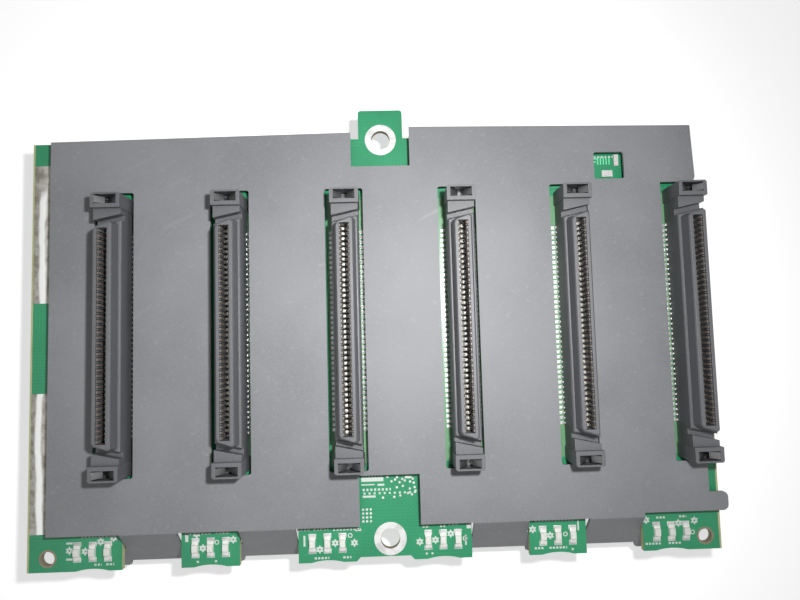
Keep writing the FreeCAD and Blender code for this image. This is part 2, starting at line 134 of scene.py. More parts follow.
class Finish:
    """One procedural material, laid out from the place of each point on the object."""

    def __init__(self, name):
        self.material = bpy.data.materials.new(name)
        self.material.use_nodes = True
        self.tree = self.material.node_tree
        self.shader = self.tree.nodes["Principled BSDF"]
        self.place = self.add("ShaderNodeTexCoord", output="Object")
        self.across = self.add("ShaderNodeSeparateXYZ", sockets={0: self.place}, output="X")
        self.along = self.add("ShaderNodeSeparateXYZ", sockets={0: self.place}, output="Y")
        self.up = self.add("ShaderNodeSeparateXYZ", sockets={0: self.place}, output="Z")

    def add(self, kind, settings=None, sockets=None, output=0):
        """Adds a node, its settings, its sockets' values or links, and gives one output."""
        node = self.tree.nodes.new(kind)
        for name, value in (settings or {}).items():
            setattr(node, name, value)
        for key, value in (sockets or {}).items():
            if isinstance(value, Level):
                self.tree.links.new(value.socket, node.inputs[key])
            else:
                node.inputs[key].default_value = value
        return Level(self, node.outputs[output])

    def stretched(self, stretch, turn=0.0):
        """The place on the object, drawn out along each axis, for a pattern with a grain."""
        sockets = {"Vector": self.place, "Scale": stretch, "Rotation": (0, 0, turn)}
        return self.add("ShaderNodeMapping", {"vector_type": "TEXTURE"}, sockets)

    def noise(self, size, detail=3.0, place=None, roughness=0.5):
        """Clouds of one size, from 0 to 1."""
        sockets = {"Vector": place or self.place, "Scale": 1 / size}
        sockets.update({"Detail": detail, "Roughness": roughness})
        return self.add("ShaderNodeTexNoise", None, sockets)

    def dots(self, spacing, radius):
        """1 within scattered round dots, whose radius is a share of their spacing."""
        sockets = {"Vector": self.place, "Scale": 1 / spacing}
        return self.add("ShaderNodeTexVoronoi", None, sockets, "Distance") < radius

    def mixed(self, factor, first, second):
        """Colour between two colours; the factor runs from the first to the second."""
        sockets = {0: factor, 6: opaque(first), 7: opaque(second)}
        return self.add("ShaderNodeMix", {"data_type": "RGBA"}, sockets, output=2)

    def where_shown(self):
        """1 where the camera sees the surface, straight, in a mirror or through glass."""
        rays = ("Is Camera Ray", "Is Glossy Ray", "Is Transmission Ray")
        return sum(self.add("ShaderNodeLightPath", output=ray) for ray in rays)

    def bump(self, height, depth, strength):
        """Raises the surface by a height from 0 to 1 over a depth."""
        sockets = {"Height": height, "Distance": depth, "Strength": strength}
        return self.add("ShaderNodeBump", None, sockets)

    def finished(self, **sockets):
        """Sets the shader's sockets, named with underscores for spaces, and gives the material."""
        for name, value in sockets.items():
            socket = self.shader.inputs[name.replace("_", " ").title().replace("Ior", "IOR")]
            if isinstance(value, Level):
                self.tree.links.new(value.socket, socket)
            else:
                socket.default_value = opaque(value)
        return self.material


class Surroundings(Finish):
    """The room's light and backdrop, laid out with the same nodes as a finish."""

    def __init__(self, world):
        self.tree = world.node_tree

    def backdrop(self, light):
        """Lights the object with one level and shows white behind it."""
        background = self.tree.nodes["Background"]
        colour = self.mixed(self.where_shown(), (light, light, light), WHITE)
        self.tree.links.new(colour.socket, background.inputs["Color"])


BLACK = (0.0, 0.0, 0.0)
WHITE = (1.0, 1.0, 1.0)


def opaque(colour):
    """A colour with full alpha where three numbers were given; the rest is left as it is."""
    if isinstance(colour, tuple) and len(colour) == 3:
        return (*colour, 1.0)
    return colour


def tone(colour, share, lift=0.0):
    """A lighter or darker tone of a colour."""
    return tuple(part * share + lift for part in colour)


# ---- finishes ----

def solder_mask_finish(look):
    """Green mask over copper tracks and vias, with the bare laminate on the cut edge."""
    finish = Finish("solder_mask")
    green = tuple(look.mask_green)
    light = tone(green, 1.25, 0.012)
    via_hole_shade = (0.012, 0.05, 0.03)
    bare_green = (0.19, 0.38, 0.20)
    laminate_dark, laminate_pale = (0.42, 0.46, 0.20), (0.70, 0.70, 0.42)
    skin, bare_edge = 0.02 * MM, 0.35 * MM
    via_spacing = 3.1 * MM

    from_middle = abs(finish.up - (FRONT_Z + REAR_Z) / 2)
    from_centre = abs(finish.across - (BOARD_LOW.x + BOARD_HIGH.x) / 2)
    ragged_edge = finish.noise(4 * MM) * 0.25 * MM
    masked = from_centre + ragged_edge < (BOARD_HIGH.x - BOARD_LOW.x) / 2 - bare_edge
    on_face = (from_middle > (FRONT_Z - REAR_Z) / 2 - skin) * masked

    upright = track_lines(finish.across, 0.8 * MM, 0.25)
    level = track_lines(finish.along, 0.8 * MM, 0.25)
    slanting = track_lines(finish.across + finish.along, 1.1 * MM, 0.3)
    zone = finish.noise(17 * MM, detail=0.0)
    other_zone = finish.noise(11 * MM, detail=0.0, place=finish.stretched((1, 1, 1), turn=0.8))
    tracks = upright * zone.faded(0.53, 0.56) + level * (1 - zone.faded(0.42, 0.45))
    tracks = tracks + slanting * other_zone.faded(0.60, 0.62) * (1 - tracks)
    via = finish.dots(via_spacing, 0.09)
    via_hole = finish.dots(via_spacing, 0.045)
    weave = finish.noise(0.35 * MM, detail=1.0)

    base = finish.mixed(finish.noise(14 * MM), tone(green, 0.62), green)
    base = finish.mixed(tracks * 0.16 + weave * 0.1, base, light)
    base = finish.mixed(via * 0.6, base, light)
    # painted shade: each via's drilled hole is a near-black dot in the colour, with no hole in the
    # solid
    base = finish.mixed(via_hole, base, via_hole_shade)
    base = finish.mixed(bare_under_mask(finish) * 0.8, base, bare_green)
    fibre = finish.noise(0.6 * MM, place=finish.stretched((6, 6, 0.4)))
    base = finish.mixed(on_face, finish.mixed(fibre, laminate_dark, laminate_pale), base)
    smears = finish.noise(22 * MM, detail=5.0)
    height = tracks * 0.5 + via * 0.6 - via_hole + weave * 0.12
    return finish.finished(
        base_color=base,
        roughness=smears * 0.22 + (1 - on_face) * 0.3 + 0.22,
        normal=finish.bump(height, 0.03 * MM, 0.5),
        specular_ior_level=0.45,
    )


def track_lines(way, pitch, height):
    """1 on evenly spaced lines across one way, thinner the greater the height."""
    return (way * (math.tau / pitch)).sine() > height


def bare_under_mask(finish):
    """1 round each drive receptacle, where no copper lies under the mask and it looks paler."""
    half_width, half_length, skin = 4.9 * MM, 33.2 * MM, 0.2 * MM
    first = receptacle_middle(1)
    step = receptacle_middle(2).x - first.x
    nearness = ((finish.across - first.x) * (math.tau / step) + math.pi / 2).sine()
    beside = nearness > math.cos(math.tau * half_width / step)
    along = abs(finish.along - first.y) < half_length
    return beside * along * (finish.up > FRONT_Z - skin)


def tin_finish(look, name="tin_plating", flux=0.35, metallic=0.5):
    """Flowed tin: pale, uneven, dulled by patches of flux."""
    finish = Finish(name)
    flux_brown = (0.24, 0.20, 0.14)
    bright = tuple(look.tin)
    blotch = finish.noise(3.2 * MM, detail=4.0, roughness=0.6)
    ripple = finish.noise(1.1 * MM, detail=2.0)
    stain = finish.noise(7 * MM, detail=3.0).faded(0.56, 0.68) * flux
    base = finish.mixed(blotch.faded(0.38, 0.62), bright, tone(bright, 0.72))
    base = finish.mixed(stain, base, flux_brown)
    return finish.finished(
        base_color=base,
        metallic=metallic - stain * 0.4,
        roughness=blotch * 0.3 + 0.28,
        normal=finish.bump(ripple, 0.08 * MM, 0.4),
    )


def strip_finish(look, middle_x, width):
    """Wide ground strip: stained at its edges, with a painted highlight of bright tin colour along
    a band right of its middle.
    """
    finish = Finish("tin_plating")
    dark_stain, pale_stain = (0.23, 0.21, 0.17), (0.47, 0.46, 0.42)
    highlight_x = middle_x + 1.2 * MM
    blotch = finish.noise(2.6 * MM, detail=5.0, roughness=0.65)
    wander = finish.noise(9 * MM, detail=2.0) * 1.8 * MM
    ripple = finish.noise(1.4 * MM, detail=2.0)
    # painted highlight: a wandering band of bright tin colour 1.2 mm right of the strip's middle;
    # the stains elsewhere are real
    from_highlight = abs(finish.across - highlight_x + wander)
    highlight_band = 1 - (from_highlight + blotch * 0.5 * MM).faded(width * 0.16, width * 0.34)
    highlight_band = highlight_band * finish.noise(24 * MM, detail=1.0).faded(0.36, 0.46)
    stain = finish.mixed(blotch.faded(0.35, 0.65), dark_stain, pale_stain)
    return finish.finished(
        base_color=finish.mixed(highlight_band, stain, tuple(look.tin)),
        metallic=highlight_band * 0.2 + 0.3,
        roughness=blotch * 0.3 + 0.26,
        normal=finish.bump(ripple + blotch * 0.5, 0.12 * MM, 0.5),
    )


def drilled_wall_finish():
    """Bare drilled glass laminate on the wall of a hole."""
    finish = Finish("drilled_wall")
    resin, glass = (0.20, 0.17, 0.11), (0.40, 0.36, 0.25)
    fibre = finish.noise(0.5 * MM, detail=3.0, place=finish.stretched((5, 5, 0.5)))
    return finish.finished(
        base_color=finish.mixed(fibre, resin, glass),
        roughness=fibre * 0.2 + 0.55,
        normal=finish.bump(fibre, 0.04 * MM, 0.5),
    )


def sheet_finish(look):
    """Satin insulating sheet with a fine matt grain, handling smears and a few scuffs."""
    finish = Finish("grey_sheet")
    grey = tuple(look.sheet_grey)
    paler = tone(grey, 1.28)
    scuffed = (0.36, 0.37, 0.39)
    mottle = finish.noise(30 * MM, detail=4.0, roughness=0.55)
    grain = finish.noise(0.45 * MM, detail=2.0, roughness=0.7)
    speck = finish.noise(1.3 * MM, detail=3.0)
    scuff_place = finish.stretched((9, 1, 1), turn=0.5)
    scuffs = finish.noise(2.4 * MM, detail=2.0, place=scuff_place).faded(0.66, 0.74)
    scuffs = scuffs * finish.noise(26 * MM, detail=1.0).faded(0.5, 0.62)
    base = finish.mixed(mottle.faded(0.3, 0.7), tone(grey, 0.80), grey)
    base = finish.mixed(grain.faded(0.35, 0.75) * 0.25, base, paler)
    base = finish.mixed(speck.faded(0.62, 0.72) * 0.35, base, paler)
    base = finish.mixed(scuffs * 0.16, base, scuffed)
    return finish.finished(
        base_color=base,
        roughness=mottle * 0.10 + grain * 0.10 - scuffs * 0.04 + 0.42,
        normal=finish.bump(grain + scuffs * 0.5, 0.05 * MM, 0.35),
        specular_ior_level=0.5,
    )


def moulding_finish(name="black_moulding", colour=None, roughness=0.38):
    """Glass-filled moulding with faint swirls, a fine fibre and a little dust."""
    finish = Finish(name)
    plain = colour or tuple(look().moulding_black)
    dust_grey = (0.22, 0.22, 0.22)
    swirl = finish.noise(5 * MM, detail=5.0, place=finish.stretched((1, 4, 1)), roughness=0.6)
    fibre = finish.noise(0.22 * MM, detail=1.0, place=finish.stretched((1, 5, 1)))
    dust = finish.noise(0.9 * MM, detail=4.0).faded(0.60, 0.72)
    base = finish.mixed(swirl, plain, tone(plain, 1.7, 0.006))
    base = finish.mixed(dust * 0.22, base, dust_grey)
    return finish.finished(
        base_color=base,
        roughness=swirl * 0.2 + fibre * 0.1 + roughness,
        normal=finish.bump(fibre + swirl * 0.4, 0.02 * MM, 0.4),
        specular_ior_level=1.0,
    )


def contact_finish(look):
    """Plated contact metal: bright on the feet, with a nearly black painted shade on the springs
    above them.
    """
    finish = Finish("gold_contact")
    plated = tuple(look.contact)
    # painted shade: the springs above the feet get a nearly black copy of the plating, patchy with
    # the noise
    painted_spring_shade = (plated[0] * 0.20, plated[1] * 0.16, plated[2] * 0.15)
    on_spring = finish.up > contact_foot_z() + 0.05 * MM
    tarnish_and_shade_noise = finish.noise(2.2 * MM, detail=3.0)
    wiped = finish.noise(0.5 * MM, detail=2.0)
    base = finish.mixed(tarnish_and_shade_noise.faded(0.4, 0.7) * 0.5, plated, tone(plated, 0.62))
    base = finish.mixed(on_spring * (1 - tarnish_and_shade_noise * 0.3), base, painted_spring_shade)
    return finish.finished(
        base_color=base,
        metallic=0.35,
        roughness=wiped * 0.2 + 0.36,
        normal=finish.bump(wiped, 0.01 * MM, 0.4),
    )


def contact_metal_finish(look):
    """Plain plated contact metal."""
    finish = Finish("plated_leaf")
    plated = tuple(look.contact)
    wiped = finish.noise(0.5 * MM, detail=2.0)
    return finish.finished(
        base_color=finish.mixed(wiped, plated, tone(plated, 0.7)),
        metallic=0.8,
        roughness=wiped * 0.2 + 0.3,
    )


def pressed_metal_finish(look, name, shade_share=1.0):
    """Rolled and pressed bright metal with drawing lines; a share below 1 darkens its colour as
    painted shade.
    """
    finish = Finish(name)
    metal = tone(look.metal, shade_share)
    lines = finish.noise(0.35 * MM, detail=2.0, place=finish.stretched((14, 1, 1)))
    haze = finish.noise(6 * MM, detail=3.0)
    return finish.finished(
        base_color=finish.mixed(haze, metal, tone(metal, 0.78)),
        metallic=0.95,
        roughness=lines * 0.16 + haze * 0.12 + 0.2,
        normal=finish.bump(lines, 0.01 * MM, 0.5),
    )


def lens_finish(look):
    """Milky lamp body with paler clouds in it."""
    finish = Finish("led_body")
    pale_cloud = (0.93, 0.94, 0.88)
    cloud = finish.noise(0.8 * MM, detail=2.0)
    return finish.finished(
        base_color=finish.mixed(cloud, tuple(look.lens), pale_cloud),
        roughness=cloud * 0.15 + 0.22,
        normal=finish.bump(cloud, 0.02 * MM, 0.4),
        coat_weight=0.3,
        coat_roughness=0.1,
    )


def ceramic_finish(name, colour):
    """Fired ceramic body of a small surface part."""
    finish = Finish(name)
    pit_black = (0.08, 0.08, 0.07)
    grit = finish.noise(0.3 * MM, detail=3.0)
    cloud = finish.noise(6 * MM, detail=2.0)
    base = finish.mixed(cloud, colour, tone(colour, 0.8))
    base = finish.mixed(grit.faded(0.6, 0.75) * 0.3, base, pit_black)
    return finish.finished(
        base_color=base,
        roughness=grit * 0.2 + 0.4,
        normal=finish.bump(grit, 0.015 * MM, 0.5),
    )


def print_finish(look):
    """Screen-printed white ink, thin and slightly ragged."""
    finish = Finish("white_print")
    worn_through = (0.45, 0.62, 0.50)
    ragged = finish.noise(0.5 * MM, detail=3.0)
    worn = ragged.faded(0.55, 0.75) * 0.5
    return finish.finished(
        base_color=finish.mixed(worn, tuple(look.print_white), worn_through),
        roughness=ragged * 0.2 + 0.5,
        normal=finish.bump(ragged, 0.01 * MM, 0.5),
    )


# ---- modelling helpers ----

def only(piece):
    """Leaves just this piece selected and active."""
    bpy.ops.object.select_all(action="DESELECT")
    piece.select_set(True)
    bpy.context.view_layer.objects.active = piece
    return piece


UP = Vector((0, 0, 1))
DOWN = Vector((0, 0, -1))
LEFT = Vector((-1, 0, 0))


def edit(piece, *ways):
    """Opens edit mode with all faces selected, or only those that face one of the ways."""
    only(piece)
    bpy.context.tool_settings.mesh_select_mode = (False, False, True)
    bpy.ops.object.mode_set(mode="EDIT")
    bpy.ops.mesh.select_all(action="DESELECT" if ways else "SELECT")
    if ways:
        bpy.ops.object.mode_set(mode="OBJECT")
        for face in piece.data.polygons:
            face.select = any(face.normal.dot(way) > 0.9 for way in ways)
        bpy.ops.object.mode_set(mode="EDIT")


def done():
    """Closes edit mode."""
    bpy.ops.object.mode_set(mode="OBJECT")


def extrude(shift):
    """Pulls the selected faces out by a shift."""
    bpy.ops.mesh.extrude_region_move(TRANSFORM_OT_translate={"value": shift})


def placed_primitive(name, centre, size):
    """Names the new primitive and puts its place and size into its mesh."""
    piece = bpy.context.active_object
    piece.name = name
    piece.data.name = name
    piece.location = centre
    piece.scale = size
    bpy.ops.object.transform_apply(location=True, rotation=True, scale=True)
    return piece


def block(name, low, high):
    """A cube primitive between two corners, ready to be shaped."""
    low = Vector(low)
    high = Vector(high)
    bpy.ops.object.select_all(action="DESELECT")
    bpy.ops.mesh.primitive_cube_add(size=1)
    return placed_primitive(name, (low + high) / 2, high - low)


def turned_ring(name, centre, inner, outer, low_z, high_z):
    """A flat ring: a rectangle's outline spun round an upright axis."""
    bpy.ops.object.select_all(action="DESELECT")
    bpy.ops.mesh.primitive_plane_add(size=1, rotation=(math.pi / 2, 0, 0))
    bpy.ops.object.transform_apply(location=False, rotation=True, scale=False)
    middle = (centre[0] + (inner + outer) / 2, centre[1], (low_z + high_z) / 2)
    ring = placed_primitive(name, middle, (outer - inner, 1, high_z - low_z))
    edit(ring)
    bpy.ops.mesh.delete(type="ONLY_FACE")
    bpy.ops.mesh.select_all(action="SELECT")
    bpy.ops.mesh.spin(steps=48, angle=math.tau, center=(*centre, 0), axis=(0, 0, 1))
    bpy.ops.mesh.select_all(action="SELECT")
    bpy.ops.mesh.remove_doubles(threshold=MERGED_WITHIN)
    bpy.ops.mesh.normals_make_consistent(inside=False)
    done()
    return ring


def softened(piece, width, segments=2, angle=30):
    """Rounds the piece's sharp edges by a small width."""
    only(piece)
    bevel = piece.modifiers.new("rounded_edges", "BEVEL")
    bevel.width = width
    bevel.segments = segments
    bevel.limit_method = "ANGLE"
    bevel.angle_limit = math.radians(angle)
    bevel.use_clamp_overlap = True
    bpy.ops.object.modifier_apply(modifier=bevel.name)
    return piece


def in_row(piece, count, step):
    """Repeats the piece along a line, each copy a step further on."""
    only(piece)
    array = piece.modifiers.new("row", "ARRAY")
    array.count = count
    array.use_relative_offset = False
    array.use_constant_offset = True
    array.constant_offset_displace = step
    bpy.ops.object.modifier_apply(modifier=array.name)
    return piece


def mirrored(piece, axis):
    """Adds the mirror image of the piece across the frame's own plane on that axis."""
    only(piece)
    mirror = piece.modifiers.new("mirror", "MIRROR")
    mirror.use_axis = [name == axis for name in "XYZ"]
    mirror.use_mirror_merge = False
    bpy.ops.object.modifier_apply(modifier=mirror.name)
    edit(piece)
    bpy.ops.mesh.normals_make_consistent(inside=False)
    done()
    return piece


def copied(piece, name, shift):
    """A copy with its own mesh, moved within its mesh."""
    copy = piece.copy()
    copy.data = piece.data.copy()
    copy.name = name
    copy.data.name = name
    copy.data.transform(Matrix.Translation(shift))
    bpy.context.scene.collection.objects.link(copy)
    return copy


def half_turned(piece, x, y):
    """A copy turned half round an upright axis, for the other side of a symmetric part."""
    other = copied(piece, "other_side", (0, 0, 0))
    turn = Matrix.Translation((2 * x, 2 * y, 0)) @ Matrix.Rotation(math.pi, 4, "Z")
    other.data.transform(turn)
    return other


def in_each_bay(piece, name, material, node=None, smooth_angle=35):
    """One copy of a piece at every receptacle; the piece itself is then removed."""
    for bay in BAYS:
        copy = copied(piece, f"{name}_{bay}", receptacle_middle(bay))
        stands_for = [f"{node}_{bay}"] if node else []
        put_in_place(copy, material, stands_for, smooth_angle)
    bpy.data.objects.remove(piece)


def joined(name, parts):
    """One piece out of several."""
    bpy.ops.object.select_all(action="DESELECT")
    for part in parts:
        part.select_set(True)
    bpy.context.view_layer.objects.active = parts[0]
    if len(parts) > 1:
        bpy.ops.object.join()
    piece = bpy.context.active_object
    piece.name = name
    piece.data.name = name
    return piece


def copy_of_node(node, name):
    """A merged copy of a CAD node, ready to be softened; the node itself stays as it is."""
    source = frame["nodes"][node]
    piece = source.copy()
    piece.data = source.data.copy()
    piece.name = name
    piece.data.name = name
    piece.parent = None
    for key in list(piece.keys()):
        del piece[key]
    bpy.context.scene.collection.objects.link(piece)
    piece.hide_viewport = False
    piece.hide_render = False
    piece.hide_set(False)
    only(piece)
    bpy.ops.mesh.customdata_custom_splitnormals_clear()
    edit(piece)
    bpy.ops.mesh.remove_doubles(threshold=MERGED_WITHIN)
    bpy.ops.mesh.normals_make_consistent(inside=False)
    bpy.ops.mesh.dissolve_limited(angle_limit=math.radians(1))
    done()
    return piece


def put_in_place(piece, material, stands_for=(), smooth_angle=35):
    """Gives a finished piece its material, shading and body, and hides the CAD nodes it stands for.
    """
    only(piece)
    bpy.ops.object.shade_smooth_by_angle(angle=math.radians(smooth_angle))
    flat = piece.modifiers.new("flat_faces_stay_flat", "WEIGHTED_NORMAL")
    flat.keep_sharp = True
    bpy.ops.object.modifier_apply(modifier=flat.name)
    piece.data.materials.clear()
    piece.data.materials.append(material)
    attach(piece, "root")
    if stands_for:
        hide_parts(*stands_for)
    return piece


def paint_node(node, material):
    """A CAD node that is shown as it is gets its material."""
    mesh_object = frame["nodes"][node]
    if not mesh_object.material_slots:
        mesh_object.data.materials.append(material)
    for material_slot in mesh_object.material_slots:
        material_slot.material = material


def dressed_copy(node, material, width, name=None):
    """A copy of a CAD node with rounded edges and its finish, which stands for the node."""
    piece = softened(copy_of_node(node, name or "soft_" + node), width)
    return put_in_place(piece, material, [node])


def receptacle_middle(bay):
    """Middle of one drive receptacle in the board's plane."""
    low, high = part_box(f"drive_receptacle_{bay}")
    return Vector(((low.x + high.x) / 2, (low.y + high.y) / 2, 0))


def slot_size():
    """Half the width between a slot's walls, and the foot and tip of its contacts."""
    low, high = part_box("receptacle_contacts_1")
    return (high.x - low.x) / 2, low.z, high.z


def contact_foot_z():
    """Top of the broad foot on which each contact spring stands."""
    foot_share = 0.35
    _, low_z, high_z = slot_size()
    return low_z + (high_z - low_z) * foot_share


def first_contact_y():
    """Height of the lowest contact of a row over its receptacle's middle."""
    low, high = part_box("receptacle_contacts_1")
    row = (CONTACTS_PER_ROW - 1) * CONTACT_PITCH
    return (low.y + high.y - row) / 2 - receptacle_middle(1).y


# ---- sizes and colours a user would change ----

def colour_property(name, description, default):
    """A colour that a user can pick."""
    return bpy.props.FloatVectorProperty(
        name=name,
        description=description,
        subtype="COLOR",
        size=3,
        min=0.0,
        max=1.0,
        default=default,
    )


def length_property(name, description, default):
    """A length that a user can set."""
    return bpy.props.FloatProperty(
        name=name,
        description=description,
        subtype="DISTANCE",
        unit="LENGTH",
        min=0.0,
        default=default,
    )


class BackplaneLook(bpy.types.PropertyGroup):
    """Colours of the board's finishes."""

    mask_green: colour_property("Mask green", "Colour of the solder mask", (0.033, 0.36, 0.165))
    sheet_grey: colour_property(
        "Sheet grey", "Colour of the insulator sheet", (0.262, 0.268, 0.281)
    )
    moulding_black: colour_property(
        "Moulding black", "Colour of the receptacles", (0.060, 0.062, 0.068)
    )
    contact: colour_property("Contact", "Colour of the receptacle contacts", (0.78, 0.76, 0.70))
    tin: colour_property("Tin", "Colour of tinned copper", (0.84, 0.85, 0.83))
    metal: colour_property("Metal", "Colour of pressed shells and posts", (0.62, 0.63, 0.64))
    lens: colour_property("Lens", "Colour of the lamp bodies", (0.86, 0.88, 0.82))
    print_white: colour_property("Print", "Colour of the printed marks", (0.70, 0.78, 0.72))
    nylon: colour_property("Nylon", "Colour of the power headers", (0.66, 0.64, 0.56))
    floor: colour_property("Floor", "Colour of the floor under the board", (0.82, 0.82, 0.82))
    floor_glow: bpy.props.FloatProperty(
        name="Floor glow",
        description="White added to the floor where it is seen",
        min=0.0,
        max=1.0,
        default=0.62,
    )


class BackplaneSizes(bpy.types.PropertyGroup):
    """Sizes of what is added to the solids."""

    moulding_round: length_property("Moulding round", "Edge rounding of the receptacles", 0.16 * MM)
    sheet_round: length_property("Sheet round", "Edge rounding of the insulator sheet", 0.12 * MM)
    tail_width: length_property("Tail width", "Width of a solder tail", 0.42 * MM)
    tail_thickness: length_property("Tail thickness", "Thickness of a solder tail", 0.20 * MM)
    tail_reach: length_property(
        "Tail reach", "Reach of the tails from a receptacle's middle", 4.35 * MM
    )
    spring_width: length_property("Spring width", "Width of a contact spring", 0.60 * MM)
    crown_height: length_property("Crown height", "Crown of solder on the ground strips", 0.45 * MM)
    ring_radius: length_property("Ring radius", "Outer radius of the plated rings", 4.0 * MM)
    ring_height: length_property(
        "Ring height", "Height of the plated rings over the board", 0.05 * MM
    )
    pad_radius: length_property("Pad radius", "Radius of a test pad", 0.30 * MM)
    print_height: length_property("Print height", "Thickness of the printed marks", 0.02 * MM)


def look():
    """The colours that are set now."""
    return bpy.context.scene.backplane_look


def sizes():
    """The sizes that are set now."""
    return bpy.context.scene.backplane_sizes


# ---- pieces ----

class BackplaneBoard(bpy.types.Operator):
    """Green mask on the board and flowed tin on its ground strips"""

    bl_idname = "backplane.board"
    bl_label = "Board"

    def execute(self, context):
        paint_node("board", solder_mask_finish(look()))
        low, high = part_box("ground_strips")
        corners = frame["nodes"]["ground_strips"].data.vertices
        ends = sorted({round(corner.co.y, 6) for corner in corners})
        strips = []
        for start, end in (ends[:2], ends[2:]):
            strip = block("strip", (low.x, start, low.z), (high.x, end, high.z))
            edit(strip)
            bpy.ops.mesh.subdivide(number_cuts=5)
            done()
            crown_strip(strip, low.z)
            strips.append(strip)
        strips = joined("tinned_strips", strips)
        tin = strip_finish(look(), (low.x + high.x) / 2, high.x - low.x)
        put_in_place(strips, tin, ["ground_strips"], 60)
        return {"FINISHED"}


def crown_strip(strip, foot_z):
    """Lifts the top of a strip into the shallow crown of flowed solder."""
    fullness, end_slope, lifted_from = 0.6, 14, foot_z + 0.05 * MM
    low, high = corners_of(strip)
    for vertex in strip.data.vertices:
        if vertex.co.z > lifted_from:
            across = (vertex.co.x - low.x) / (high.x - low.x)
            along = (vertex.co.y - low.y) / (high.y - low.y)
            ends = min(1.0, end_slope * along, end_slope * (1 - along))
            crown = math.sin(math.pi * across) ** fullness * ends
            vertex.co.z += sizes().crown_height * crown


def corners_of(piece):
    """Low and high corner of a piece's mesh."""
    places = [vertex.co for vertex in piece.data.vertices]
    low = Vector(min(place[axis] for place in places) for axis in range(3))
    high = Vector(max(place[axis] for place in places) for axis in range(3))
    return low, high


class BackplaneSheet(bpy.types.Operator):
    """Insulator sheet with softened edges"""

    bl_idname = "backplane.sheet"
    bl_label = "Insulator sheet"

    def execute(self, context):
        width = sizes().sheet_round
        grey = sheet_finish(look())
        dressed_copy("insulator_sheet", grey, width, "folded_sheet")
        return {"FINISHED"}


class BackplaneReceptacles(bpy.types.Operator):
    """Drive receptacle housings with rounded mouldings"""

    bl_idname = "backplane.receptacles"
    bl_label = "Drive receptacles"

    def execute(self, context):
        material = moulding_finish()
        first = copy_of_node("drive_receptacle_1", "receptacle_1")
        softened(first, sizes().moulding_round)
        for bay in BAYS:
            shift = receptacle_middle(bay) - receptacle_middle(1)
            piece = first if bay == 1 else copied(first, f"receptacle_{bay}", shift)
            put_in_place(piece, material, [f"drive_receptacle_{bay}"])
        return {"FINISHED"}


class BackplaneContacts(bpy.types.Operator):
    """Sprung contacts that bow towards the middle of each slot"""

    bl_idname = "backplane.contacts"
    bl_label = "Contacts"

    def execute(self, context):
        wall, low_z, high_z = slot_size()
        thick, foot_gap, foot_share, straight_share = 0.22 * MM, 0.04 * MM, 1.3, 0.45
        bends = ((-0.14, 0.42), (-0.22, 0.30), (0.12, 0.14), (0.22, 0.14))
        half = sizes().spring_width / 2
        start = first_contact_y()
        bend_z = low_z + (high_z - low_z) * straight_share
        spring = block("spring", (wall - thick, start - half, low_z), (wall, start + half, bend_z))
        edit(spring, UP)
        for lean, share in bends:
            extrude((lean * MM, 0, (high_z - bend_z) * share))
        done()
        half *= foot_share
        foot_high = (wall - thick, start + half, contact_foot_z())
        foot = block("foot", (foot_gap, start - half, low_z), foot_high)
        spring = joined("spring", [spring, softened(foot, 0.05 * MM, 1)])
        in_row(spring, CONTACTS_PER_ROW, (0, CONTACT_PITCH, 0))
        mirrored(spring, "X")
        material = contact_finish(look())
        node = "receptacle_contacts"
        in_each_bay(spring, "contact_springs", material, node, 60)
        return {"FINISHED"}


class BackplaneCombs(bpy.types.Operator):
    """Moulded ribs that part the contacts along both walls of each slot"""

    bl_idname = "backplane.combs"
    bl_label = "Slot combs"

    def execute(self, context):
        wall, low_z, high_z = slot_size()
        depth, sunk, half, rise = 0.42 * MM, 0.05 * MM, 0.17 * MM, 0.1 * MM
        start = first_contact_y() - CONTACT_PITCH / 2
        rib_high = (wall + sunk, start + half, high_z + rise)
        rib = block("rib", (wall - depth, start - half, low_z), rib_high)
        edit(rib, UP)
        bpy.ops.mesh.bevel(offset=0.08 * MM, segments=1)
        done()
        in_row(rib, CONTACTS_PER_ROW + 1, (0, CONTACT_PITCH, 0))
        mirrored(rib, "X")
        material = moulding_finish("comb_moulding", roughness=0.42)
        in_each_bay(rib, "slot_combs", material)
        return {"FINISHED"}


class BackplaneTails(bpy.types.Operator):
    """Solder tails and their pads along both sides of each receptacle"""

    bl_idname = "backplane.tails"
    bl_label = "Solder tails"

    def execute(self, context):
        start = first_contact_y()
        reach = sizes().tail_reach
        half = sizes().tail_width / 2
        toe, solder_top = 0.55 * MM, 0.05 * MM
        top = solder_top + sizes().tail_thickness
        tail = block("tail", (reach - toe, start - half, solder_top), (reach, start + half, top))
        edit(tail, LEFT)
        extrude((-0.28 * MM, 0, 0.55 * MM))
        extrude((-0.42 * MM, 0, 0.10 * MM))
        done()
        inner, half, toe_gap = 3.45 * MM, 0.38 * MM, 0.10 * MM
        pad = block("pad", (inner, start - half, 0), (reach + toe_gap, start + half, solder_top))
        edit(pad, UP)
        bpy.ops.mesh.inset(thickness=0.08 * MM)
        extrude((0, 0, 0.04 * MM))
        done()
        tail = joined("tail", [tail, pad])
        in_row(tail, CONTACTS_PER_ROW, (0, CONTACT_PITCH, 0))
        mirrored(tail, "X")
        material = tin_finish(look(), "tinned_tails", flux=0.1, metallic=0.35)
        in_each_bay(tail, "solder_tails", material, smooth_angle=50)
        return {"FINISHED"}


class BackplaneClips(bpy.types.Operator):
    """Sprung grounding clips in the end pockets"""

    bl_idname = "backplane.clips"
    bl_label = "Grounding clips"

    def execute(self, context):
        # painted shade: the clips in the end pockets get the metal colour darkened to 0.28
        material = pressed_metal_finish(look(), "spring_metal", 0.28)
        for bay in BAYS:
            dressed_copy(f"ground_clips_{bay}", material, 0.05 * MM)
        return {"FINISHED"}


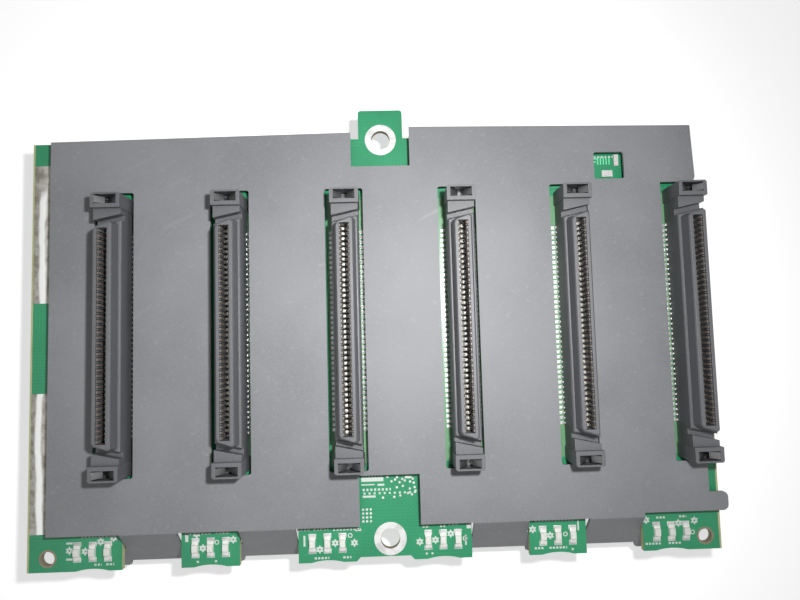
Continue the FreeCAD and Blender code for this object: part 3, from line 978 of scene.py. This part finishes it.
class BackplaneLamps(bpy.types.Operator):
    """Surface-mount lamps on the tabs, with their tinned ends and solder"""

    bl_idname = "backplane.lamps"
    bl_label = "Tab lamps"

    def execute(self, context):
        lens = lens_finish(look())
        tin = tin_finish(look(), "lamp_solder", flux=0.0, metallic=0.2)
        for bay in BAYS:
            node = f"tab_leds_{bay}"
            dressed_copy(node, lens, 0.08 * MM, f"lamps_{bay}")
            low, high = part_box(node)
            middles = [(left.x + right.x) / 2 for left, right in loose_boxes(node)]
            upper = joined("upper_ends", [solder_end(x, high.y) for x in middles])
            lower = half_turned(upper, (low.x + high.x) / 2, (low.y + high.y) / 2)
            row = joined(f"lamp_ends_{bay}", [upper, lower])
            put_in_place(row, tin, smooth_angle=50)
        return {"FINISHED"}


def solder_end(x, y):
    """Pad and sloped solder fillet at the upper end of a small part."""
    half, under, beyond, pad_top = 0.95 * MM, 0.35 * MM, 0.80 * MM, 0.06 * MM
    end = block("solder_end", (x - half, y - under, 0), (x + half, y + beyond, pad_top))
    edit(end, UP)
    bpy.ops.mesh.inset(thickness=0.12 * MM)
    extrude((0, -0.18 * MM, 0.42 * MM))
    bpy.ops.transform.resize(value=(0.9, 0.55, 1))
    done()
    return softened(end, 0.06 * MM)


# Marks round the lamps of each tab, in millimetres from the middle of its three lamps:
# shapes are placed at x, y; bars run left, right, low, high; dashes run left, right at a height.
STAR = "star"
RING = "ring"
TAB_PRINT = {
    1: {
        "shapes": ((STAR, -1.8, 0.1), (STAR, 1.9, 2.3), (STAR, 5.0, 3.1), (STAR, -5.6, 0.4)),
        "bars": ((-6.4, -4.8, -1.9, -1.4), (-6.4, -4.8, 1.9, 2.4)),
        "dashes": ((-2.8, 4.2, 3.5), (0.4, 2.2, -3.1), (3.3, 5.2, -3.1)),
    },
    2: {
        "shapes": ((STAR, -1.9, -0.1), (STAR, 5.5, 1.7), (STAR, -3.4, 3.3), (RING, 1.5, 1.2)),
        "bars": ((-6.2, -5.4, 1.5, 3.4),),
        "dashes": (
            (-6.0, -4.2, 3.4),
            (-2.2, 0.2, 3.4),
            (1.2, 4.6, 3.4),
            (-3.4, -2.8, -3.3),
            (1.0, 1.7, -3.3),
        ),
    },
    3: {
        "shapes": ((STAR, 1.9, 0.0), (STAR, 6.6, -0.1), (STAR, -1.9, -1.4), (RING, 5.6, 1.7)),
        "bars": ((-5.9, -5.4, -0.6, 2.0), (6.8, 8.4, 2.7, 3.1)),
        "dashes": (
            (-7.4, -4.2, 3.4),
            (-3.4, 0.4, 3.4),
            (1.4, 8.2, 3.2),
            (-3.2, 0.4, -3.5),
            (3.8, 5.8, -3.5),
        ),
    },
    4: {
        "shapes": ((STAR, -5.8, -0.4), (STAR, -1.9, -0.1), (STAR, 1.9, 1.3), (RING, 5.4, 0.0)),
        "bars": ((5.9, 7.0, 2.4, 3.6), (5.4, 5.8, -1.6, 0.9)),
        "dashes": (
            (-5.0, -3.6, 3.2),
            (-0.7, 0.6, 3.2),
            (1.4, 4.0, 3.5),
            (-4.4, -3.9, -3.3),
            (-3.0, -2.5, -3.3),
        ),
    },
    5: {
        "shapes": ((STAR, -1.9, 0.0), (STAR, -6.2, 1.6), (RING, 1.9, 0.2)),
        "bars": ((5.0, 5.4, 1.0, 3.6),),
        "dashes": ((-5.6, 4.4, 3.6), (-5.9, -3.4, -3.0), (-2.2, 2.2, -3.0), (3.3, 4.0, -3.5)),
    },
    6: {
        "shapes": ((STAR, -6.2, 2.9), (STAR, 1.9, 1.9), (STAR, 6.0, 2.4), (RING, 5.4, -0.4)),
        "bars": (),
        "dashes": ((-3.6, -1.4, 3.4), (2.2, 4.0, 3.5), (-6.6, -2.8, -2.9), (-0.8, 2.4, -2.9)),
    },
}

# Bars left, right, low, high; dashes left, right, middle, dash, gap, height; in millimetres.
MIDDLE_BARS = (
    (-6.9, -1.4, -36.3, -35.3),
    (-6.9, -3.6, -37.2, -36.9),
    (-2.9, -1.2, -37.4, -36.9),
    (-6.6, -3.4, -40.2, -39.7),
    (3.9, 5.6, -35.8, -35.2),
)
MIDDLE_DASHES = (
    (-6.6, -1.4, -34.95, 0.4, 0.35, 0.4),
    (-6.6, 0.4, -38.3, 0.5, 0.45, 0.6),
    (-6.4, 6.8, -39.2, 0.5, 0.75, 0.5),
)
WINDOW_BARS = tuple((56.2 + 0.75 * step, 56.5 + 0.75 * step, 42.6, 44.7) for step in range(5))
WINDOW_BARS += ((55.0, 56.2, 44.0, 44.3), (55.0, 55.9, 43.2, 43.5))

# Places of the round pads, in millimetres: a block of vias, strays, and two short rows.
PAD_SPOTS = tuple((-6.6 + 0.95 * x, -45.9 + 0.95 * y) for x in range(3) for y in range(4))
PAD_SPOTS += ((1.5, -36.0), (2.6, -36.7), (1.9, -37.9), (3.4, -37.6), (3.9, -36.3))
PAD_SPOTS += ((2.7, -39.9), (4.6, -39.4), (5.6, -39.7), (6.5, -38.9), (1.2, -40.2))
PAD_SPOTS += ((6.1, -36.9), (6.3, -38.0), (5.2, -36.6), (5.1, -38.3), (-0.4, -35.3))
PAD_SPOTS += ((0.6, -36.4), (-1.6, -40.3))
PAD_SPOTS += tuple((55.6 + 0.95 * x, 44.6) for x in range(6))
PAD_SPOTS += tuple((2.0 + 1.3 * x, -35.4 - 0.5 * (x % 2)) for x in range(4))


def printed(low_x, high_x, low_y, high_y):
    """A printed bar on the drive side of the board, its place in millimetres."""
    return block(
        "bar",
        (low_x * MM, low_y * MM, FRONT_Z),
        (high_x * MM, high_y * MM, FRONT_Z + sizes().print_height),
    )


def printed_dashes(low_x, high_x, y, dash=0.55, gap=0.28, height=0.5):
    """A row of short unreadable ticks where a board has its reference marks."""
    marks = []
    x = low_x
    while x < high_x:
        marks.append(printed(x, min(x + dash, high_x), y - height / 2, y + height / 2))
        x += dash + gap
    return marks


def printed_shape(kind, x, y):
    """A hollow six-pointed mark or a plain ring."""
    radius = {STAR: 1.05 * MM, RING: 0.6 * MM}[kind]
    notch_share, line_share = 0.62, 0.42
    middle = Vector((x * MM, y * MM, FRONT_Z))
    bpy.ops.object.select_all(action="DESELECT")
    bpy.ops.mesh.primitive_circle_add(vertices=12, radius=1, fill_type="NGON")
    mark = placed_primitive("mark", middle, (radius, radius, 1))
    if kind == STAR:
        for vertex in list(mark.data.vertices)[1::2]:
            vertex.co = middle + (vertex.co - middle) * notch_share
    edit(mark)
    bpy.ops.mesh.inset(thickness=radius * line_share)
    bpy.ops.mesh.delete(type="FACE")
    bpy.ops.mesh.select_all(action="SELECT")
    extrude((0, 0, sizes().print_height))
    bpy.ops.mesh.select_all(action="SELECT")
    bpy.ops.mesh.normals_make_consistent(inside=False)
    done()
    return mark


class BackplanePrint(bpy.types.Operator):
    """White printed marks on the tabs and round the lower middle hole"""

    bl_idname = "backplane.print"
    bl_label = "Printed marks"

    def execute(self, context):
        ink = print_finish(look())
        for bay in BAYS:
            low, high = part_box(f"tab_leds_{bay}")
            x = (low.x + high.x) / 2 / MM
            y = (low.y + high.y) / 2 / MM
            layout = TAB_PRINT[bay]
            marks = [printed_shape(kind, x + dx, y + dy) for kind, dx, dy in layout["shapes"]]
            for left, right, foot, head in layout["bars"]:
                marks.append(printed(x + left, x + right, y + foot, y + head))
            for left, right, height in layout["dashes"]:
                marks += printed_dashes(x + left, x + right, y + height)
            put_marks(f"tab_print_{bay}", marks, ink)
        marks = [printed(*bar) for bar in MIDDLE_BARS]
        for dashes in MIDDLE_DASHES:
            marks += printed_dashes(*dashes)
        put_marks("middle_print", marks, ink)
        raised_green = tone(look().mask_green, 1.6, 0.10)
        tracks = moulding_finish("track_mask", raised_green, 0.2)
        put_marks("window_tracks", [printed(*bar) for bar in WINDOW_BARS], tracks)
        return {"FINISHED"}


def put_marks(name, marks, material):
    """Joins printed marks and softens their upright corners a little."""
    put_in_place(softened(joined(name, marks), 0.008 * MM, 1, 60), material)


class BackplanePads(bpy.types.Operator):
    """Tinned test pads and vias on the drive side"""

    bl_idname = "backplane.pads"
    bl_label = "Test pads"

    def execute(self, context):
        tin = tin_finish(look(), "pad_plating", flux=0.0, metallic=0.2)
        put_in_place(joined("test_pads", [test_pad(x, y) for x, y in PAD_SPOTS]), tin)
        return {"FINISHED"}


def test_pad(x, y):
    """A round tinned pad with its drilled hole sunk in the middle."""
    radius, thick, sink = sizes().pad_radius, 0.04 * MM, 0.035 * MM
    bpy.ops.object.select_all(action="DESELECT")
    bpy.ops.mesh.primitive_cylinder_add(vertices=12, radius=1, depth=1)
    centre = (x * MM, y * MM, FRONT_Z + thick / 2)
    pad = placed_primitive("pad", centre, (radius, radius, thick))
    edit(pad, UP)
    bpy.ops.mesh.inset(thickness=radius / 2)
    extrude((0, 0, -sink))
    done()
    return pad


class BackplaneRings(bpy.types.Operator):
    """Plated rings and barrels of the mounting holes"""

    bl_idname = "backplane.rings"
    bl_label = "Plated rings"

    def execute(self, context):
        tin = tin_finish(look(), "ring_plating", flux=0.0, metallic=0.25)
        height, wall, rim_width = sizes().ring_height, 0.06 * MM, 0.45 * MM
        rings = []
        walls = []
        for mount in frame["record"]["mounts"]:
            if mount["kind"] != "bolt_pattern":
                continue
            for centre, hole in hole_centres(mount):
                walls.append(turned_ring("wall", centre, hole - wall, hole, REAR_Z, FRONT_Z))
                if mount["name"] == "mounting_holes":
                    for low_z in (FRONT_Z, REAR_Z - height):
                        outer = sizes().ring_radius
                        ring = turned_ring("ring", centre, hole, outer, low_z, low_z + height)
                        rings.append(ring)
                else:
                    outer, top = hole + rim_width, FRONT_Z + height / 2
                    walls.append(turned_ring("rim", centre, hole, outer, FRONT_Z, top))
        put_in_place(joined("plated_rings", rings), tin)
        put_in_place(joined("drilled_walls", walls), drilled_wall_finish())
        return {"FINISHED"}


def hole_centres(mount):
    """Centre and radius of each hole of one bolt pattern of two."""
    x, y, _ = mount["pos_m"]
    dims = mount["dims"]
    half_x = dims.get("spacing_x_mm", 0) * MM / 2
    half_y = dims.get("spacing_y_mm", 0) * MM / 2
    hole = dims["hole_r_mm"] * MM
    return [((x + sign * half_x, y + sign * half_y), hole) for sign in (-1, 1)]


class BackplaneRear(bpy.types.Operator):
    """Cable receptacles, power headers and chips of the cable side"""

    bl_idname = "backplane.rear"
    bl_label = "Cable side"

    def execute(self, context):
        black = moulding_finish("cable_moulding")
        shell = pressed_metal_finish(look(), "shell_metal")
        nylon = moulding_finish("pale_moulding", tuple(look().nylon), 0.4)
        epoxy = moulding_finish("chip_epoxy", (0.022, 0.022, 0.024), 0.45)
        pins = tin_finish(look(), "pin_plating", flux=0.0)
        ceramic = ceramic_finish("window_ceramic", (0.8, 0.8, 0.78))
        for side in SIDES:
            dressed_copy(f"cable_receptacle_{side}", black, 0.2 * MM)
            dressed_copy(f"cable_shell_{side}", shell, 0.08 * MM)
            dressed_copy(f"power_header_{side}", nylon, 0.08 * MM)
        for node in CHIPS:
            dressed_copy(node, epoxy, 0.08 * MM)
        dressed_copy("jack_posts", shell, 0.15 * MM)
        dressed_copy("clock_can", shell, 0.25 * MM)
        dressed_copy("power_pins", pins, 0.1 * MM)
        dressed_copy("window_parts", ceramic, 0.06 * MM)
        return {"FINISHED"}


CHIPS = ("controller_chip", "terminator_chips", "driver_chips", "capacitors")


def loose_boxes(node):
    """Low and high corner of each separate solid in a CAD node."""
    pieces = copy_of_node(node, "loose")
    edit(pieces)
    bpy.ops.mesh.separate(type="LOOSE")
    done()
    boxes = []
    for piece in list(bpy.context.selected_objects):
        boxes.append(corners_of(piece))
        bpy.data.objects.remove(piece)
    return boxes


def gull_lead(width, rise):
    """A bent lead that leaves a chip's side at x = 0 and lies on its pad under the board."""
    pad_thick, lead_thick = 0.03 * MM, 0.13 * MM
    knee, toe = 0.55 * MM, 1.05 * MM
    pad_inner, pad_outer = 0.45 * MM, 1.35 * MM
    pad_half = 0.75 * width
    pad_z = REAR_Z - pad_thick
    lead = block("lead", (knee, -width / 2, pad_z - lead_thick), (toe, width / 2, pad_z))
    edit(lead, LEFT)
    extrude((-0.30 * MM, 0, -rise))
    extrude((-0.40 * MM, 0, 0))
    done()
    pad = block("pad", (pad_inner, -pad_half, pad_z), (pad_outer, pad_half, REAR_Z))
    edit(pad, DOWN)
    bpy.ops.mesh.inset(thickness=0.05 * MM)
    extrude((0, 0, -0.02 * MM))
    done()
    return joined("lead", [lead, pad])


def lead_rows(low, high, count, pitch, width, turns):
    """Rows of leads on the sides of a chip that the quarter turns name."""
    middle = (low + high) / 2
    row = in_row(gull_lead(width, (high.z - low.z) * 0.45), count, (0, pitch, 0))
    rows = []
    for turn in turns:
        reach = (high.x - low.x) / 2 if turn % 2 == 0 else (high.y - low.y) / 2
        side = copied(row, "leads", (reach, -pitch * (count - 1) / 2, 0))
        spin = Matrix.Rotation(turn * math.pi / 2, 4, "Z")
        side.data.transform(Matrix.Translation((middle.x, middle.y, 0)) @ spin)
        rows.append(side)
    bpy.data.objects.remove(row)
    return rows


class BackplaneLeads(bpy.types.Operator):
    """Leads and pads of the chips on the cable side"""

    bl_idname = "backplane.leads"
    bl_label = "Chip leads"

    def execute(self, context):
        tin = tin_finish(look(), "lead_plating", flux=0.1, metallic=0.6)
        fine_pitch, fine_width, wide_width = 0.65 * MM, 0.30 * MM, 0.42 * MM
        low, high = loose_boxes("controller_chip")[0]
        rows = lead_rows(low, high, 19, fine_pitch, fine_width, (0, 2))
        rows += lead_rows(low, high, 28, fine_pitch, fine_width, (1, 3))
        put_in_place(joined("controller_leads", rows), tin, smooth_angle=50)
        for node, turns, count in (("terminator", (0, 2), 9), ("driver", (1, 3), 7)):
            rows = []
            for low, high in loose_boxes(f"{node}_chips"):
                rows += lead_rows(low, high, count, CONTACT_PITCH, wide_width, turns)
            leads = joined(f"{node}_leads", rows)
            put_in_place(leads, tin, smooth_angle=50)
        ends = []
        for low, high in loose_boxes("capacitors"):
            ends += [end_cap(low.x, 1, low, high), end_cap(high.x, -1, low, high)]
        put_in_place(joined("capacitor_ends", ends), tin)
        return {"FINISHED"}


def end_cap(x, inner, low, high):
    """Tinned strap folded up the end of a moulded capacitor, with its foot on the board."""
    length, thick = 0.9 * MM, 0.2 * MM
    middle = (low.y + high.y) / 2
    half = (high.y - low.y) * 0.3
    toe = x - inner * length
    foot = block(
        "end_cap",
        (min(x, toe), middle - half, REAR_Z - thick),
        (max(x, toe), middle + half, REAR_Z),
    )
    edit(foot, DOWN)
    bpy.ops.transform.resize(value=(0.5, 1, 1), center_override=(x, middle, 0))
    extrude((0, 0, -(high.z - low.z) * 0.4))
    done()
    return foot


class BackplaneSockets(bpy.types.Operator):
    """Contact openings in the cable receptacles' noses"""

    bl_idname = "backplane.sockets"
    bl_label = "Cable sockets"

    def execute(self, context):
        moulding = moulding_finish("socket_moulding", roughness=0.4)
        plated = contact_metal_finish(look())
        row_share = 0.86
        for side in SIDES:
            low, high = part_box(f"cable_shell_{side}")
            middle = receptacle_row_middle(side)
            pitch = (high.x - low.x) * row_share / (SOCKETS_PER_ROW - 1)
            start = middle.x - pitch * (SOCKETS_PER_ROW - 1) / 2
            for piece, name, finish in (
                (socket_mouth(start, middle.y, middle.z), "mouths", moulding),
                (socket_leaf(start, middle.y, middle.z), "leaves", plated),
            ):
                in_row(piece, SOCKETS_PER_ROW, (pitch, 0, 0))
                rows = [piece, half_turned(piece, middle.x, middle.y)]
                put_in_place(joined(f"socket_{name}_{side}", rows), finish)
        return {"FINISHED"}


def receptacle_row_middle(side):
    """Middle between the two rows of one cable receptacle, on its nose."""
    low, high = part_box(f"cable_receptacle_{side}")
    shell_low, shell_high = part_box(f"cable_shell_{side}")
    return Vector(((low.x + high.x) / 2, (shell_low.y + shell_high.y) / 2, low.z))


def socket_mouth(x, y, nose_z):
    """The raised lip of one contact opening, sunk in the middle."""
    half = 0.5 * MM
    mouth = block(
        "mouth", (x - half, y + 0.7 * MM, nose_z - 0.35 * MM), (x + half, y + 1.9 * MM, nose_z)
    )
    edit(mouth, DOWN)
    bpy.ops.mesh.inset(thickness=0.2 * MM)
    extrude((0, 0, 0.3 * MM))
    done()
    return mouth


def socket_leaf(x, y, nose_z):
    """The tip of the plated contact that shows in one opening."""
    half = 0.12 * MM
    leaf = block(
        "leaf", (x - half, y + 1.0 * MM, nose_z - 0.15 * MM), (x + half, y + 1.2 * MM, nose_z)
    )
    edit(leaf, DOWN)
    bpy.ops.transform.resize(value=(0.6, 0.6, 1))
    done()
    return leaf


class BackplanePassives(bpy.types.Operator):
    """Small resistors and capacitors of the cable side"""

    bl_idname = "backplane.passives"
    bl_label = "Small parts"

    def execute(self, context):
        tin = tin_finish(look(), "small_part_ends", flux=0.0, metallic=0.4)
        brown = ceramic_finish("tan_ceramic", (0.42, 0.30, 0.18))
        black = moulding_finish("resistor_glaze", (0.03, 0.03, 0.034), 0.2)
        ends = []
        for name, rows, material in (
            ("small_capacitors", CAPACITOR_ROWS, brown),
            ("small_resistors", RESISTOR_ROWS, black),
        ):
            bodies = []
            for count, x, y, step_x, step_y in rows:
                body, caps = small_part(x * MM, y * MM)
                step = (step_x * MM, step_y * MM, 0)
                bodies.append(in_row(body, count, step))
                ends.append(in_row(caps, count, step))
            put_in_place(joined(name, bodies), material)
        put_in_place(joined("small_part_ends", ends), tin)
        return {"FINISHED"}


# Rows of small parts: how many, where the first one is, and the step to the next, in millimetres.
CAPACITOR_ROWS = (
    (6, -16.0, -13.5, 2.9, 0),
    (5, -72.0, -4.0, 2.9, 0),
    (5, 60.4, -4.0, 2.9, 0),
    (4, -14.5, 13.0, 2.9, 0),
)
RESISTOR_ROWS = (
    (7, -28.0, -24.0, 2.6, 0),
    (7, 12.4, -24.0, 2.6, 0),
    (5, -14.6, -7.5, 0, 2.6),
    (5, 14.6, -7.5, 0, 2.6),
    (6, -42.0, -41.0, 2.6, 0),
    (6, 29.0, -41.0, 2.6, 0),
)


def small_part(x, y):
    """Body of one small part and its two tinned ends, under the board."""
    half_width, half_length, thick = 0.6 * MM, 0.65 * MM, 0.62 * MM
    proud, cap_reach, cap_half = 0.06 * MM, 1.0 * MM, 0.35 * MM
    body = block(
        "body",
        (x - half_width, y - half_length, REAR_Z - thick),
        (x + half_width, y + half_length, REAR_Z),
    )
    softened(body, 0.05 * MM, 1)
    caps = []
    for cap_y in (y - cap_reach, y + cap_reach):
        cap = block(
            "cap",
            (x - half_width - proud, cap_y - cap_half, REAR_Z - thick - 0.04 * MM),
            (x + half_width + proud, cap_y + cap_half, REAR_Z),
        )
        caps.append(softened(cap, 0.08 * MM, 1))
    return body, joined("caps", caps)


class BackplaneRearPrint(bpy.types.Operator):
    """Printed outlines round the chips and connectors of the cable side"""

    bl_idname = "backplane.rear_print"
    bl_label = "Cable side outlines"

    def execute(self, context):
        chip_margin, connector_margin = 1.9 * MM, 0.8 * MM
        outlines = []
        for node in (*CHIPS, "clock_can"):
            for low, high in loose_boxes(node):
                outlines.append(printed_outline(low, high, chip_margin))
        for side in SIDES:
            for node in ("cable_receptacle", "power_header"):
                low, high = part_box(f"{node}_{side}")
                outlines.append(printed_outline(low, high, connector_margin))
        put_in_place(joined("rear_outlines", outlines), print_finish(look()))
        return {"FINISHED"}


def printed_outline(low, high, margin):
    """A thin printed frame on the board's rear face round one part."""
    outline = block(
        "outline",
        (low.x - margin, low.y - margin, REAR_Z - sizes().print_height),
        (high.x + margin, high.y + margin, REAR_Z),
    )
    edit(outline, UP, DOWN)
    bpy.ops.mesh.inset(thickness=0.2 * MM)
    bpy.ops.mesh.bridge_edge_loops()
    done()
    return outline


class BackplaneStage(bpy.types.Operator):
    """Pale floor, soft lamps and the camera"""

    bl_idname = "backplane.stage"
    bl_label = "Stage"

    def execute(self, context):
        build_floor()
        build_lamps()
        build_camera()
        context.scene.view_settings.view_transform = "Standard"
        return {"FINISHED"}


def build_floor():
    """A pale floor that keeps the shadow near the board and turns white far off."""
    glow_near, glow_far = 0.11, 0.26
    bpy.ops.object.select_all(action="DESELECT")
    bpy.ops.mesh.primitive_plane_add(size=1)
    floor = placed_primitive("floor", (0, 0, REST_Z - 0.02 * MM), (3, 3, 1))
    finish = Finish("floor_card")
    colour = tuple(look().floor)
    mottle = finish.noise(120 * MM) * 0.3
    from_centre = finish.across * finish.across + finish.along * finish.along
    far_off = from_centre.faded(glow_near**2, glow_far**2)
    glow = far_off * (1.0 - look().floor_glow) + look().floor_glow
    floor.data.materials.append(
        finish.finished(
            base_color=finish.mixed(mottle, colour, tone(colour, 0.97)),
            roughness=0.9,
            specular_ior_level=0.1,
            emission_color=finish.mixed(finish.where_shown() * glow, BLACK, WHITE),
            emission_strength=1.0,
        )
    )


# Name, place, width and power in watts: a small lamp just right of the lens, a broad weak one left.
LAMPS = (
    ("key_lamp", (0.031, 0.022, 0.162), 0.014, 0.150),
    ("fill_lamp", (-0.30, -0.20, 0.50), 0.60, 0.10),
)
LAMP_AIM = Vector((-0.016, 0.003, 0))
ROOM_LIGHT = 0.08


def build_lamps():
    """The two soft lamps and the room's plain light."""
    for name, place, size, watts in LAMPS:
        light = bpy.data.lights.new(name, "AREA")
        light.shape = "DISK"
        light.size = size
        light.energy = watts
        light.spread = math.radians(120)
        lamp = bpy.data.objects.new(name, light)
        lamp.location = place
        lamp.rotation_euler = (LAMP_AIM - Vector(place)).to_track_quat("-Z", "Y").to_euler()
        bpy.context.scene.collection.objects.link(lamp)
    world = bpy.data.worlds.new("soft_room")
    world.use_nodes = True
    Surroundings(world).backdrop(ROOM_LIGHT)
    bpy.context.scene.world = world


def build_camera():
    """The camera looks almost straight down on the drive side, from hand height."""
    tilt = (4.46, -1.45, -1.58)
    data = bpy.data.cameras.new("camera")
    data.sensor_width = 36
    data.lens = 28.9
    data.clip_start = 0.01
    camera = bpy.data.objects.new("camera", data)
    camera.location = (-0.5 * MM, -3.9 * MM, 162.4 * MM)
    camera.rotation_euler = [math.radians(angle) for angle in tilt]
    bpy.context.scene.collection.objects.link(camera)
    bpy.context.scene.camera = camera


class BackplanePanel(bpy.types.Panel):
    """Lists the pieces of the backplane board"""

    bl_label = "Backplane"
    bl_idname = "VIEW3D_PT_backplane"
    bl_space_type = "VIEW_3D"
    bl_region_type = "UI"
    bl_category = "Backplane"

    def draw(self, context):
        for operator in OPERATORS:
            self.layout.operator(operator.bl_idname)
        for group in (look(), sizes()):
            for name in group.__annotations__:
                self.layout.prop(group, name)


OPERATORS = (
    BackplaneBoard,
    BackplaneSheet,
    BackplaneReceptacles,
    BackplaneContacts,
    BackplaneCombs,
    BackplaneTails,
    BackplaneClips,
    BackplaneLamps,
    BackplanePrint,
    BackplanePads,
    BackplaneRings,
    BackplaneRear,
    BackplaneLeads,
    BackplaneSockets,
    BackplanePassives,
    BackplaneRearPrint,
    BackplaneStage,
)


def register():
    """Adds the colours, sizes, operators and panel."""
    for kind in (BackplaneLook, BackplaneSizes, *OPERATORS, BackplanePanel):
        bpy.utils.register_class(kind)
    bpy.types.Scene.backplane_look = bpy.props.PointerProperty(type=BackplaneLook)
    bpy.types.Scene.backplane_sizes = bpy.props.PointerProperty(type=BackplaneSizes)


def unregister():
    """Takes them out again."""
    del bpy.types.Scene.backplane_sizes
    del bpy.types.Scene.backplane_look
    for kind in reversed((BackplaneLook, BackplaneSizes, *OPERATORS, BackplanePanel)):
        bpy.utils.unregister_class(kind)


def main():
    """Makes every piece in order."""
    register()
    for operator in OPERATORS:
        group, name = operator.bl_idname.split(".")
        if getattr(getattr(bpy.ops, group), name)() != {"FINISHED"}:
            raise RuntimeError(f"{operator.bl_label} could not be made")


if __name__ == "__main__":
    main()
